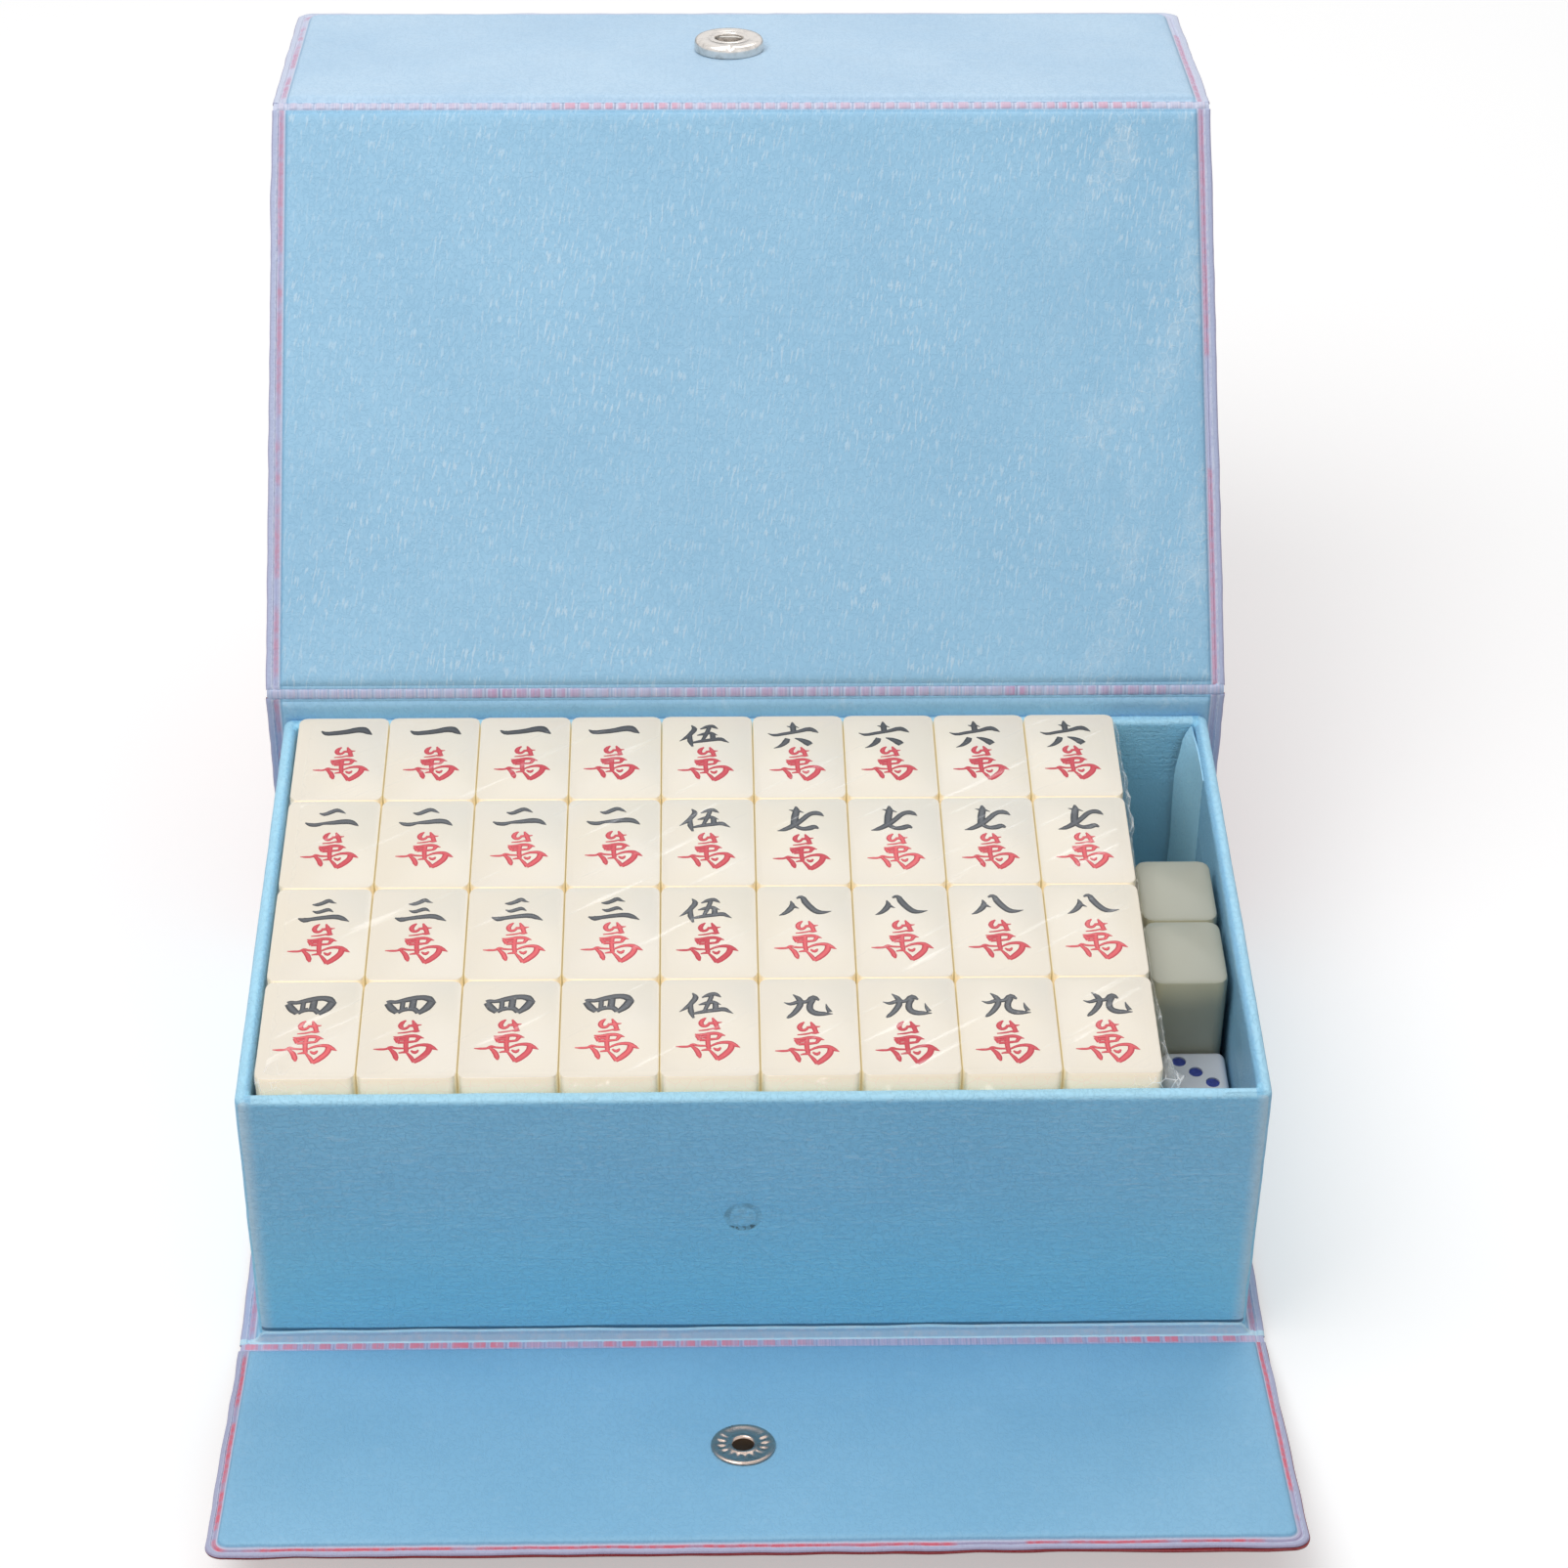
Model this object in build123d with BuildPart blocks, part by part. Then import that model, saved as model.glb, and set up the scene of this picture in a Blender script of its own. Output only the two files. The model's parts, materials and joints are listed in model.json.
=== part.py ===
from build123d import *
import math
import os

os.makedirs("parts", exist_ok=True)

# A pocket set of tiles in a stiff tray, inside a soft wrap-round case.
# X runs to the right, Y to the back and Z up. The origin is on the table,
# under the middle of the tray. All sizes are in millimetres.

# Tiles
tile_width = 14.9
tile_length = 21.9
tile_thickness = 12.1
tile_gap = 0.1
tile_edge_radius = 1.1
columns = 9
rows = 4
layers = 4

# Clear film round each layer of tiles
film_thickness = 0.1
film_edge_room = 0.2
film_lip_side = 6.0
film_lip_height = 2.5

# Tray walls: a leathercloth wrap, greyboard and a paper-backed liner
wrap_thickness = 0.3
board_thickness = 1.7
liner_thickness = 0.3
floor_board_thickness = 2.0
tray_left_clearance = 0.5
tray_depth_clearance = 0.7
spare_side_room = 1.7
tile_stand_up = 2.2
turn_in_depth = 12.0
tray_corner_radius = 1.6
rim_radius = 0.8

# Case panels: a board between two plies, welded round its edge
case_side_reach = 2.85
ply_thickness = 0.4
panel_board_thickness = 1.5
hem_width = 2.5
fold_room = 0.35
fold_slit = 0.4
board_edge_room = 0.5
pillow_radius = 0.6
free_corner_radius = 3.5
pillow_corner_radius = 2.0
post_clearance = 0.15
lid_clearance = 0.75
front_flap_length = 50.4
lid_flap_length = 51.6

# How far the open case stands: degrees
front_flap_tilt_angle = 10.8
lid_lean_angle = 46.6
lid_flap_bend_angle = 53.4

# Snap fastener
snap_side_offset = -2.0
stud_reach = 26.8
snap_fit = 0.05
hole_room = 0.1
post_wall = 0.35
post_flange_radius = 4.8
post_flange_thickness = 0.4
post_flange_bevel = 0.25
post_flange_bevel_width = 0.6
post_tube_radius = 1.3
post_mouth_radius = 1.6
post_mouth_roll = 0.2
post_throat_depth = 0.8
stud_flange_radius = 5.0
stud_flange_thickness = 0.35
stud_root_fillet = 0.15
stud_wall = 0.35
stud_height = 2.3
stud_tip_bevel = 0.3
stud_head_side = 0.4
stud_shoulder = 0.25
stud_overhang = 0.45
socket_radius = 6.1
socket_height = 2.1
socket_base_thickness = 0.25
socket_top_wall = 0.45
socket_side_wall = 1.4
socket_shoulder_height = 0.9
socket_shoulder_width = 0.5
socket_clearance = 0.25
socket_mouth_room = 0.35
spring_wire_radius = 0.18
spring_neck_play = 0.17
spring_top_play = 0.03
spring_half_length = 3.65
cap_radius = 6.2
cap_edge_height = 0.4
cap_height = 1.5
cap_shank_radius = 0.85
cap_hole_room = 0.35

# Loose pieces in the side compartment
spare_front = -18.0
spare_stacks = 2
spares_in_stack = 2
loose_gap = 0.1
die_size = 10.0
die_edge_radius = 1.3
dice_count = 3
die_wall_room = 0.6
die_clearance = 0.3
pip_radius = 1.1
pip_depth = 0.35
pip_offset = 2.4

# Sizes worked out from the ones above
panel_thickness = 2 * ply_thickness + panel_board_thickness
half_panel = panel_thickness / 2
fold_inset = half_panel + fold_room
fold_gap = ply_thickness + fold_slit
side_compartment_width = tile_thickness + spare_side_room
tile_pitch = tile_width + tile_gap
row_pitch = tile_length + tile_gap
block_width = columns * tile_pitch - tile_gap
block_depth = rows * row_pitch - tile_gap
pack_width = block_width + 2 * film_thickness
pack_depth = block_depth + 2 * film_thickness
pack_height = tile_thickness + 2 * film_thickness
wall_thickness = wrap_thickness + board_thickness + liner_thickness
cavity_width = tray_left_clearance + pack_width + side_compartment_width
cavity_depth = pack_depth + tray_depth_clearance
tray_width = cavity_width + 2 * wall_thickness
tray_depth = cavity_depth + 2 * wall_thickness
case_width = tray_width + 2 * case_side_reach
tray_bottom = panel_thickness
floor_top = tray_bottom + wrap_thickness + floor_board_thickness + liner_thickness
packs_top = floor_top + layers * pack_height
rim_height = packs_top - film_thickness - tile_stand_up
pack_left = -cavity_width / 2 + tray_left_clearance
pack_right = pack_left + pack_width
pack_centre_x = (pack_left + pack_right) / 2
film_inner_radius = tile_edge_radius - film_edge_room
compartment_x = (pack_right + cavity_width / 2) / 2

front_fold_y = -tray_depth / 2 - post_clearance - post_flange_thickness - half_panel
rear_fold_y = tray_depth / 2 + half_panel
lid_fold_z = packs_top + lid_clearance + half_panel
base_length = rear_fold_y - front_fold_y
spine_length = lid_fold_z - half_panel
snap_stack = stud_flange_thickness + socket_clearance + socket_height
lid_length = base_length + panel_thickness + snap_stack
socket_reach = lid_fold_z - half_panel - stud_reach

post_bore_radius = post_tube_radius - post_wall
post_mouth_outer_radius = post_mouth_radius + post_wall
post_hole_radius = post_mouth_outer_radius + hole_room
stud_bore_radius = post_tube_radius + snap_fit
stud_neck_radius = stud_bore_radius + stud_wall
stud_head_radius = stud_neck_radius + stud_overhang
socket_mouth_radius = stud_head_radius + socket_mouth_room
socket_cavity_radius = socket_radius - socket_side_wall
socket_hole_radius = cap_shank_radius + snap_fit
spring_bar_offset = stud_neck_radius + spring_neck_play + spring_wire_radius
cap_hole_radius = cap_shank_radius + cap_hole_room


# Directions in the YZ plane
def direction(angle_from_up):
    turn = math.radians(angle_from_up)
    return Vector(0, math.sin(turn), math.cos(turn))


lid_direction = direction(lid_lean_angle)
lid_fold_point = Vector(0, rear_fold_y, lid_fold_z)
flap_fold_point = lid_fold_point + lid_direction * lid_length

# Each panel's plane starts at its fold. Its Y runs away from the fold and its
# Z points to the lining side.
front_flap_plane = Plane(
    origin=(0, front_fold_y, half_panel),
    x_dir=(-1, 0, 0),
    z_dir=direction(front_flap_tilt_angle),
)
base_plane = Plane(origin=(0, front_fold_y, half_panel), x_dir=(1, 0, 0), z_dir=(0, 0, 1))
spine_plane = Plane(origin=(0, rear_fold_y, half_panel), x_dir=(1, 0, 0), z_dir=(0, -1, 0))
lid_plane = Plane(
    origin=lid_fold_point,
    x_dir=(1, 0, 0),
    z_dir=direction(lid_lean_angle - 90),
)
lid_flap_plane = Plane(
    origin=flap_fold_point,
    x_dir=(1, 0, 0),
    z_dir=direction(lid_lean_angle + lid_flap_bend_angle - 90),
)


def save(piece, name):
    piece.part.label = name
    export_step(piece.part, "parts/" + name + ".step")


# One ply of a panel: a flat hem and a raised pillow that holds half the board
def build_skin(plane, length, far_end_free, side, hole=None, hole_radius=0.0):
    hem_end = length if far_end_free else length - fold_gap
    pillow_end = length - hem_width if far_end_free else length - fold_inset
    with BuildPart() as skin:
        with BuildSketch(plane) as hem:
            with Locations((0, (fold_gap + hem_end) / 2)):
                Rectangle(case_width, hem_end - fold_gap)
            if far_end_free:
                fillet(hem.vertices().group_by(Axis.Y)[-1], free_corner_radius)
        extrude(amount=side * ply_thickness)
        with BuildSketch(plane) as pillow:
            with Locations((0, (fold_inset + pillow_end) / 2)):
                Rectangle(case_width - 2 * hem_width, pillow_end - fold_inset)
            if far_end_free:
                fillet(pillow.vertices().group_by(Axis.Y)[-1], pillow_corner_radius)
        extrude(amount=side * half_panel)
        outward = Axis(plane.origin, plane.z_dir * side)
        fillet(skin.faces().sort_by(outward)[-1].edges(), pillow_radius)
        with BuildSketch(plane):
            with Locations((0, (fold_inset + pillow_end) / 2)):
                Rectangle(
                    case_width - 2 * (hem_width + board_edge_room),
                    pillow_end - fold_inset - 2 * board_edge_room,
                )
        extrude(amount=side * panel_board_thickness / 2, mode=Mode.SUBTRACT)
        if hole is not None:
            with BuildSketch(plane):
                with Locations(hole):
                    Circle(hole_radius)
            extrude(amount=side * half_panel, mode=Mode.SUBTRACT)
    return skin


# The stiff board inside a panel
def build_board(plane, length, far_end_free, hole=None, hole_radius=0.0):
    pillow_end = length - hem_width if far_end_free else length - fold_inset
    with BuildPart() as board:
        with BuildSketch(plane):
            with Locations((0, (fold_inset + pillow_end) / 2)):
                Rectangle(
                    case_width - 2 * (hem_width + board_edge_room),
                    pillow_end - fold_inset - 2 * board_edge_room,
                )
            if hole is not None:
                with Locations(hole):
                    Circle(hole_radius, mode=Mode.SUBTRACT)
        extrude(amount=panel_board_thickness / 2, both=True)
    return board


stud_place = (-snap_side_offset, stud_reach)
socket_place = (snap_side_offset, socket_reach)
panels = [
    ("front_flap", front_flap_plane, front_flap_length, True, stud_place, post_hole_radius),
    ("base", base_plane, base_length, False, None, 0.0),
    ("spine", spine_plane, spine_length, False, None, 0.0),
    ("lid", lid_plane, lid_length, False, None, 0.0),
    ("lid_flap", lid_flap_plane, lid_flap_length, True, socket_place, cap_hole_radius),
]
for panel_name, plane, length, far_end_free, hole, hole_radius in panels:
    lining = build_skin(plane, length, far_end_free, 1, hole, hole_radius)
    save(lining, panel_name + "_lining")
    outer_skin = build_skin(plane, length, far_end_free, -1, hole, hole_radius)
    save(outer_skin, panel_name + "_outer_skin")
    board = build_board(plane, length, far_end_free, hole, hole_radius)
    save(board, panel_name + "_board")


# A welded fold: a strip of both plies that ends in a round bead on the fold line
def build_weld(plane, fold_at, strip_from):
    strip_middle = (fold_at + strip_from) / 2
    with BuildPart() as weld:
        with BuildSketch(plane):
            with Locations((0, strip_middle)):
                Rectangle(case_width, abs(fold_at - strip_from))
        extrude(amount=ply_thickness, both=True)
        bead_start = plane.from_local_coords(Vector(-case_width / 2, fold_at, 0))
        with BuildSketch(Plane(origin=bead_start, x_dir=plane.y_dir, z_dir=plane.x_dir)):
            Circle(ply_thickness)
        extrude(amount=case_width)
    return weld


front_fold_weld = build_weld(base_plane, 0, fold_gap)
save(front_fold_weld, "front_fold_weld")
lid_fold_weld = build_weld(spine_plane, spine_length, spine_length - fold_gap)
save(lid_fold_weld, "lid_fold_weld")
flap_fold_weld = build_weld(lid_plane, lid_length, lid_length - fold_gap)
save(flap_fold_weld, "flap_fold_weld")

with BuildPart() as rear_fold_weld:
    add(build_weld(base_plane, base_length, base_length - fold_gap).part)
    add(build_weld(spine_plane, 0, fold_gap).part)
save(rear_fold_weld, "rear_fold_weld")

# Tray boards. The front and back boards run the full width, over the floor.
board_width = tray_width - 2 * wrap_thickness
board_depth = tray_depth - 2 * wrap_thickness
floor_board_bottom = tray_bottom + wrap_thickness
wall_bottom = floor_board_bottom + floor_board_thickness
wall_top = rim_height - wrap_thickness
board_corner_radius = tray_corner_radius - wrap_thickness

with BuildPart() as tray_floor_board:
    with BuildSketch(Plane.XY.offset(floor_board_bottom)):
        RectangleRounded(board_width, board_depth, board_corner_radius)
    extrude(amount=floor_board_thickness)
save(tray_floor_board, "tray_floor_board")

for board_name, facing in (("tray_front_board", -1), ("tray_back_board", 1)):
    with BuildPart() as long_board:
        with BuildSketch(Plane.XY.offset(wall_bottom)) as outline:
            with Locations((0, facing * (board_depth - board_thickness) / 2)):
                Rectangle(board_width, board_thickness)
            outer_corners = outline.vertices().sort_by(Axis.Y)
            outer_corners = outer_corners[:2] if facing < 0 else outer_corners[-2:]
            fillet(outer_corners, board_corner_radius)
        extrude(amount=wall_top - wall_bottom)
    save(long_board, board_name)

for board_name, facing in (("tray_left_board", -1), ("tray_right_board", 1)):
    with BuildPart() as short_board:
        with BuildSketch(Plane.XY.offset(wall_bottom)):
            with Locations((facing * (board_width - board_thickness) / 2, 0)):
                Rectangle(board_thickness, board_depth - 2 * board_thickness)
        extrude(amount=wall_top - wall_bottom)
    save(short_board, board_name)

# The liner is a thin open box that stops where the wrap turns in over the rim
liner_top = rim_height - turn_in_depth
liner_width = cavity_width + 2 * liner_thickness
liner_depth = cavity_depth + 2 * liner_thickness
with BuildPart() as tray_liner:
    with BuildSketch(Plane.XY.offset(wall_bottom)):
        Rectangle(liner_width, liner_depth)
    extrude(amount=liner_top - wall_bottom)
    with BuildSketch(Plane.XY.offset(floor_top)):
        Rectangle(cavity_width, cavity_depth)
    extrude(amount=liner_top - floor_top, mode=Mode.SUBTRACT)
save(tray_liner, "tray_liner")

# The wrap covers the outside, the rim and the top of the inside
with BuildPart() as tray_wrap:
    with BuildSketch(Plane.XY.offset(tray_bottom)):
        RectangleRounded(tray_width, tray_depth, tray_corner_radius)
    extrude(amount=rim_height - tray_bottom)
    with BuildSketch(Plane.XY.offset(floor_top)):
        Rectangle(cavity_width, cavity_depth)
    extrude(amount=rim_height - floor_top, mode=Mode.SUBTRACT)
    fillet(tray_wrap.edges().group_by(Axis.Z)[-1], rim_radius)
    with BuildSketch(Plane.XY.offset(floor_board_bottom)):
        RectangleRounded(board_width, board_depth, board_corner_radius)
    extrude(amount=floor_board_thickness, mode=Mode.SUBTRACT)
    with BuildSketch(Plane.XY.offset(wall_bottom)):
        RectangleRounded(board_width, board_depth, board_corner_radius)
        Rectangle(liner_width, liner_depth, mode=Mode.SUBTRACT)
    extrude(amount=wall_top - wall_bottom, mode=Mode.SUBTRACT)
    with BuildSketch(Plane.XY.offset(wall_bottom)):
        Rectangle(liner_width, liner_depth)
    extrude(amount=liner_top - wall_bottom, mode=Mode.SUBTRACT)
save(tray_wrap, "tray_wrap")

# One tile, lying on its back, with every edge rounded
with BuildPart() as tile:
    Box(tile_width, tile_length, tile_thickness)
    fillet(tile.edges(), tile_edge_radius)

# Four packs, from the bottom up. Rows count from the back to the front.
for layer in range(layers):
    pack_bottom = floor_top + layer * pack_height
    pack_name = "pack_" + str(layer + 1)
    pack_middle = pack_bottom + pack_height / 2
    for row in range(rows):
        row_y = block_depth / 2 - tile_length / 2 - row * row_pitch
        with BuildPart() as tile_row:
            for column in range(columns):
                tile_x = pack_centre_x + (column - (columns - 1) / 2) * tile_pitch
                with Locations((tile_x, row_y, pack_middle)):
                    add(tile.part)
        save(tile_row, pack_name + "_tile_row_" + str(row + 1))
    with BuildPart() as film:
        with Locations((pack_centre_x, 0, pack_middle)):
            Box(pack_width, pack_depth, pack_height)
        fillet(film.edges(), film_inner_radius + film_thickness)
        with BuildPart(mode=Mode.PRIVATE) as film_hollow:
            with Locations((pack_centre_x, 0, pack_middle)):
                Box(block_width, block_depth, tile_thickness)
            fillet(film_hollow.edges(), film_inner_radius)
        add(film_hollow.part, mode=Mode.SUBTRACT)
        with Locations((pack_centre_x, 0, pack_middle)):
            Box(
                pack_width,
                pack_depth - 2 * film_lip_side,
                pack_height - 2 * film_lip_height,
                mode=Mode.SUBTRACT,
            )
    save(film, pack_name + "_film")

# Spare blank tiles stand on end in two stacks
with BuildPart() as spare_tile:
    Box(tile_thickness, tile_width, tile_length)
    fillet(spare_tile.edges(), tile_edge_radius)

with BuildPart() as spare_tiles:
    for stack in range(spare_stacks):
        for level in range(spares_in_stack):
            spare_y = spare_front + tile_width / 2 + stack * (tile_width + loose_gap)
            spare_z = floor_top + tile_length / 2 + level * (tile_length + loose_gap)
            with Locations((compartment_x, spare_y, spare_z)):
                add(spare_tile.part)
save(spare_tiles, "spare_tiles")

# A die with recessed pips. Opposite faces add up to seven.
near = -pip_offset
far = pip_offset
pip_layouts = {
    1: [(0, 0)],
    2: [(near, near), (far, far)],
    3: [(near, far), (0, 0), (far, near)],
    4: [(near, near), (near, far), (far, near), (far, far)],
    5: [(near, near), (near, far), (0, 0), (far, near), (far, far)],
    6: [(near, near), (near, 0), (near, far), (far, near), (far, 0), (far, far)],
}
half_die = die_size / 2
die_faces = {
    3: Plane(origin=(0, 0, half_die), x_dir=(1, 0, 0), z_dir=(0, 0, 1)),
    4: Plane(origin=(0, 0, -half_die), x_dir=(1, 0, 0), z_dir=(0, 0, -1)),
    2: Plane(origin=(0, -half_die, 0), x_dir=(1, 0, 0), z_dir=(0, -1, 0)),
    5: Plane(origin=(0, half_die, 0), x_dir=(1, 0, 0), z_dir=(0, 1, 0)),
    1: Plane(origin=(half_die, 0, 0), x_dir=(0, 1, 0), z_dir=(1, 0, 0)),
    6: Plane(origin=(-half_die, 0, 0), x_dir=(0, 1, 0), z_dir=(-1, 0, 0)),
}
with BuildPart() as die:
    Box(die_size, die_size, die_size)
    fillet(die.edges(), die_edge_radius)
    for value, face_plane in die_faces.items():
        with BuildSketch(face_plane):
            with Locations(*pip_layouts[value]):
                Circle(pip_radius)
        extrude(amount=-pip_depth, mode=Mode.SUBTRACT)

with BuildPart() as dice:
    for level in range(dice_count):
        die_x = cavity_width / 2 - die_wall_room - half_die
        die_y = spare_front - die_clearance - half_die
        die_z = floor_top + half_die + level * (die_size + loose_gap)
        with Locations((die_x, die_y, die_z)):
            add(die.part)
save(dice, "dice")


# A turned snap piece: its profile is (radius, height) on the snap's own axis,
# with height counted from the panel's middle towards the lining side
def build_turned(panel_plane, place, profile):
    centre = panel_plane.from_local_coords(Vector(place[0], place[1], 0))
    side_normal = Vector(1, 0, 0).cross(panel_plane.z_dir)
    with BuildPart() as turned:
        with BuildSketch(Plane(origin=centre, x_dir=(1, 0, 0), z_dir=side_normal)):
            with BuildLine():
                Polyline(*profile, close=True)
            make_face()
        revolve(axis=Axis(centre, panel_plane.z_dir))
    return turned


# The post holds the stud from the lining side, and its mouth shows as a hole
flange_top = half_panel + post_flange_thickness
throat = half_panel - post_throat_depth
stud_root = -half_panel - stud_flange_thickness
stud_tip = -half_panel - stud_height
post_end = stud_tip + 2 * stud_wall
snap_post = build_turned(
    front_flap_plane,
    stud_place,
    [
        (post_flange_radius, half_panel),
        (post_mouth_outer_radius, half_panel),
        (post_tube_radius, throat),
        (post_tube_radius, post_end),
        (post_bore_radius, post_end),
        (post_bore_radius, throat),
        (post_mouth_radius, half_panel),
        (post_mouth_radius + post_mouth_roll, flange_top),
        (post_flange_radius - post_flange_bevel_width, flange_top),
        (post_flange_radius, flange_top - post_flange_bevel),
    ],
)
save(snap_post, "snap_post")

head_bottom = stud_tip + stud_tip_bevel
head_top = head_bottom + stud_head_side
snap_stud = build_turned(
    front_flap_plane,
    stud_place,
    [
        (stud_bore_radius, -half_panel),
        (stud_flange_radius, -half_panel),
        (stud_flange_radius, stud_root),
        (stud_neck_radius + stud_root_fillet, stud_root),
        (stud_neck_radius, stud_root - stud_root_fillet),
        (stud_neck_radius, head_top + stud_shoulder),
        (stud_head_radius, head_top),
        (stud_head_radius, head_bottom),
        (stud_head_radius - stud_tip_bevel, stud_tip),
        (0, stud_tip),
        (0, stud_tip + stud_wall),
        (stud_bore_radius, stud_tip + stud_wall),
    ],
)
save(snap_stud, "snap_stud")

# The socket sits on the lining of the lid flap and holds the ring spring
socket_top = half_panel + socket_height
socket_floor = half_panel + socket_base_thickness
snap_socket = build_turned(
    lid_flap_plane,
    socket_place,
    [
        (socket_hole_radius, half_panel),
        (socket_radius, half_panel),
        (socket_radius, socket_top - socket_shoulder_height),
        (socket_radius - socket_shoulder_width, socket_top),
        (socket_mouth_radius, socket_top),
        (socket_mouth_radius, socket_top - socket_top_wall),
        (socket_cavity_radius, socket_top - socket_top_wall),
        (socket_cavity_radius, socket_floor),
        (socket_hole_radius, socket_floor),
    ],
)
save(snap_socket, "snap_socket")

# The spring is a long ring of wire whose two straight bars grip the stud's neck
spring_height = socket_top - socket_top_wall - spring_wire_radius - spring_top_play
spring_centre = lid_flap_plane.from_local_coords(
    Vector(socket_place[0], socket_place[1], spring_height)
)
spring_plane = Plane(
    origin=spring_centre,
    x_dir=lid_flap_plane.x_dir,
    z_dir=lid_flap_plane.z_dir,
)
bar_end = spring_half_length - spring_bar_offset
bar_start = spring_plane.from_local_coords(Vector(0, spring_bar_offset, 0))
with BuildPart() as snap_spring:
    with BuildLine(spring_plane):
        Line((0, spring_bar_offset), (bar_end, spring_bar_offset))
        ThreePointArc(
            (bar_end, spring_bar_offset),
            (spring_half_length, 0),
            (bar_end, -spring_bar_offset),
        )
        Line((bar_end, -spring_bar_offset), (-bar_end, -spring_bar_offset))
        ThreePointArc(
            (-bar_end, -spring_bar_offset),
            (-spring_half_length, 0),
            (-bar_end, spring_bar_offset),
        )
        Line((-bar_end, spring_bar_offset), (0, spring_bar_offset))
    with BuildSketch(Plane(origin=bar_start, x_dir=spring_plane.y_dir, z_dir=spring_plane.x_dir)):
        Circle(spring_wire_radius)
    sweep()
save(snap_spring, "snap_spring")

# The cap shows on the outside of the lid flap; its shank is riveted to the socket
cap_rim = -half_panel - cap_edge_height
cap_crown = -half_panel - cap_height
with BuildPart() as snap_cap:
    cap_centre = lid_flap_plane.from_local_coords(Vector(socket_place[0], socket_place[1], 0))
    cap_side = Vector(1, 0, 0).cross(lid_flap_plane.z_dir)
    with BuildSketch(Plane(origin=cap_centre, x_dir=(1, 0, 0), z_dir=cap_side)):
        with BuildLine():
            Polyline(
                (0, cap_crown),
                (0, socket_floor),
                (cap_shank_radius, socket_floor),
                (cap_shank_radius, -half_panel),
                (cap_radius, -half_panel),
                (cap_radius, cap_rim),
            )
            TangentArc((0, cap_crown), (cap_radius, cap_rim), tangent=(1, 0))
        make_face()
    revolve(axis=Axis(cap_centre, lid_flap_plane.z_dir))
save(snap_cap, "snap_cap")
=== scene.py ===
# Mini mahjong set: the finish of the case, the tray, the tiles and the snap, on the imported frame
import json
import math
import random
import bpy
from mathutils import Matrix, Vector, noise


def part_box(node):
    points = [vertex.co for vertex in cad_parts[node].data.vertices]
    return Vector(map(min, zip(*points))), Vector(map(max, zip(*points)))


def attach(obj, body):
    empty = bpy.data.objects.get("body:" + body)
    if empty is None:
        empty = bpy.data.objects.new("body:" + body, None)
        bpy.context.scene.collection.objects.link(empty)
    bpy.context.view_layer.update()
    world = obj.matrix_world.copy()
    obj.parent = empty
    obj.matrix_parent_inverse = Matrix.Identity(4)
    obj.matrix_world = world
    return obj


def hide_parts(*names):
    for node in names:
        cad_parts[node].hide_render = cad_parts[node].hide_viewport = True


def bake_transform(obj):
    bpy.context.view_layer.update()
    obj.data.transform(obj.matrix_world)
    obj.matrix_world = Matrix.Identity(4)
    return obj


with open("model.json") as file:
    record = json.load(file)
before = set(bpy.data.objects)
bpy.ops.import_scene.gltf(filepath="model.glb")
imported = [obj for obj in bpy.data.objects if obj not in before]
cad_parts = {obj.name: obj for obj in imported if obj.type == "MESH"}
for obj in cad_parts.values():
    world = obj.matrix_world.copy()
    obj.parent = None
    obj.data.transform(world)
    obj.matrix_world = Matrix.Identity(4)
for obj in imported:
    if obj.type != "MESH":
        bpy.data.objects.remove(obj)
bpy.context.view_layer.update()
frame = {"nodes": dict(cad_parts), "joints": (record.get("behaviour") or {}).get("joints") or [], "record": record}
mm = 0.001
nodes = frame["nodes"]
joints = {joint["name"]: joint for joint in frame["joints"]}
random.seed(7)
print("frame loaded:", len(nodes), "nodes")


# Camera, floor and light
view = {
    "place": (-8.07, -461.07, 440.03),   # mm
    "turn": 1.628,                       # degrees to the right of the +Y axis
    "down": 38.409,                      # degrees below level
    "roll": 0.686,
    "lens": 87.85,                       # mm
    "sensor": 36,                        # mm, square
    "clipStart": 0.01,                   # m
}


def makeCamera():
    turn, down, roll = (math.radians(view[k]) for k in ("turn", "down", "roll"))
    forward = Vector((math.sin(turn) * math.cos(down), math.cos(turn) * math.cos(down), -math.sin(down)))
    right = Vector((math.cos(turn), -math.sin(turn), 0))
    up = right.cross(forward)
    rolledRight = right * math.cos(roll) + up * math.sin(roll)
    rolledUp = up * math.cos(roll) - right * math.sin(roll)
    bpy.ops.object.camera_add()
    camera = bpy.context.object
    camera.name = "camera"
    axes = Matrix((rolledRight, rolledUp, -forward)).transposed().to_4x4()
    camera.matrix_world = Matrix.Translation(Vector(view["place"]) * mm) @ axes
    camera.data.lens = view["lens"]
    camera.data.sensor_width = view["sensor"]
    camera.data.clip_start = view["clipStart"]
    bpy.context.scene.camera = camera


def enter(mode):
    bpy.ops.object.mode_set(mode=mode)


def startFresh():
    if bpy.context.mode != "OBJECT":
        enter("OBJECT")
    bpy.ops.object.select_all(action="DESELECT")


def pick(piece):
    startFresh()
    piece.select_set(True)
    bpy.context.view_layer.objects.active = piece


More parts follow.
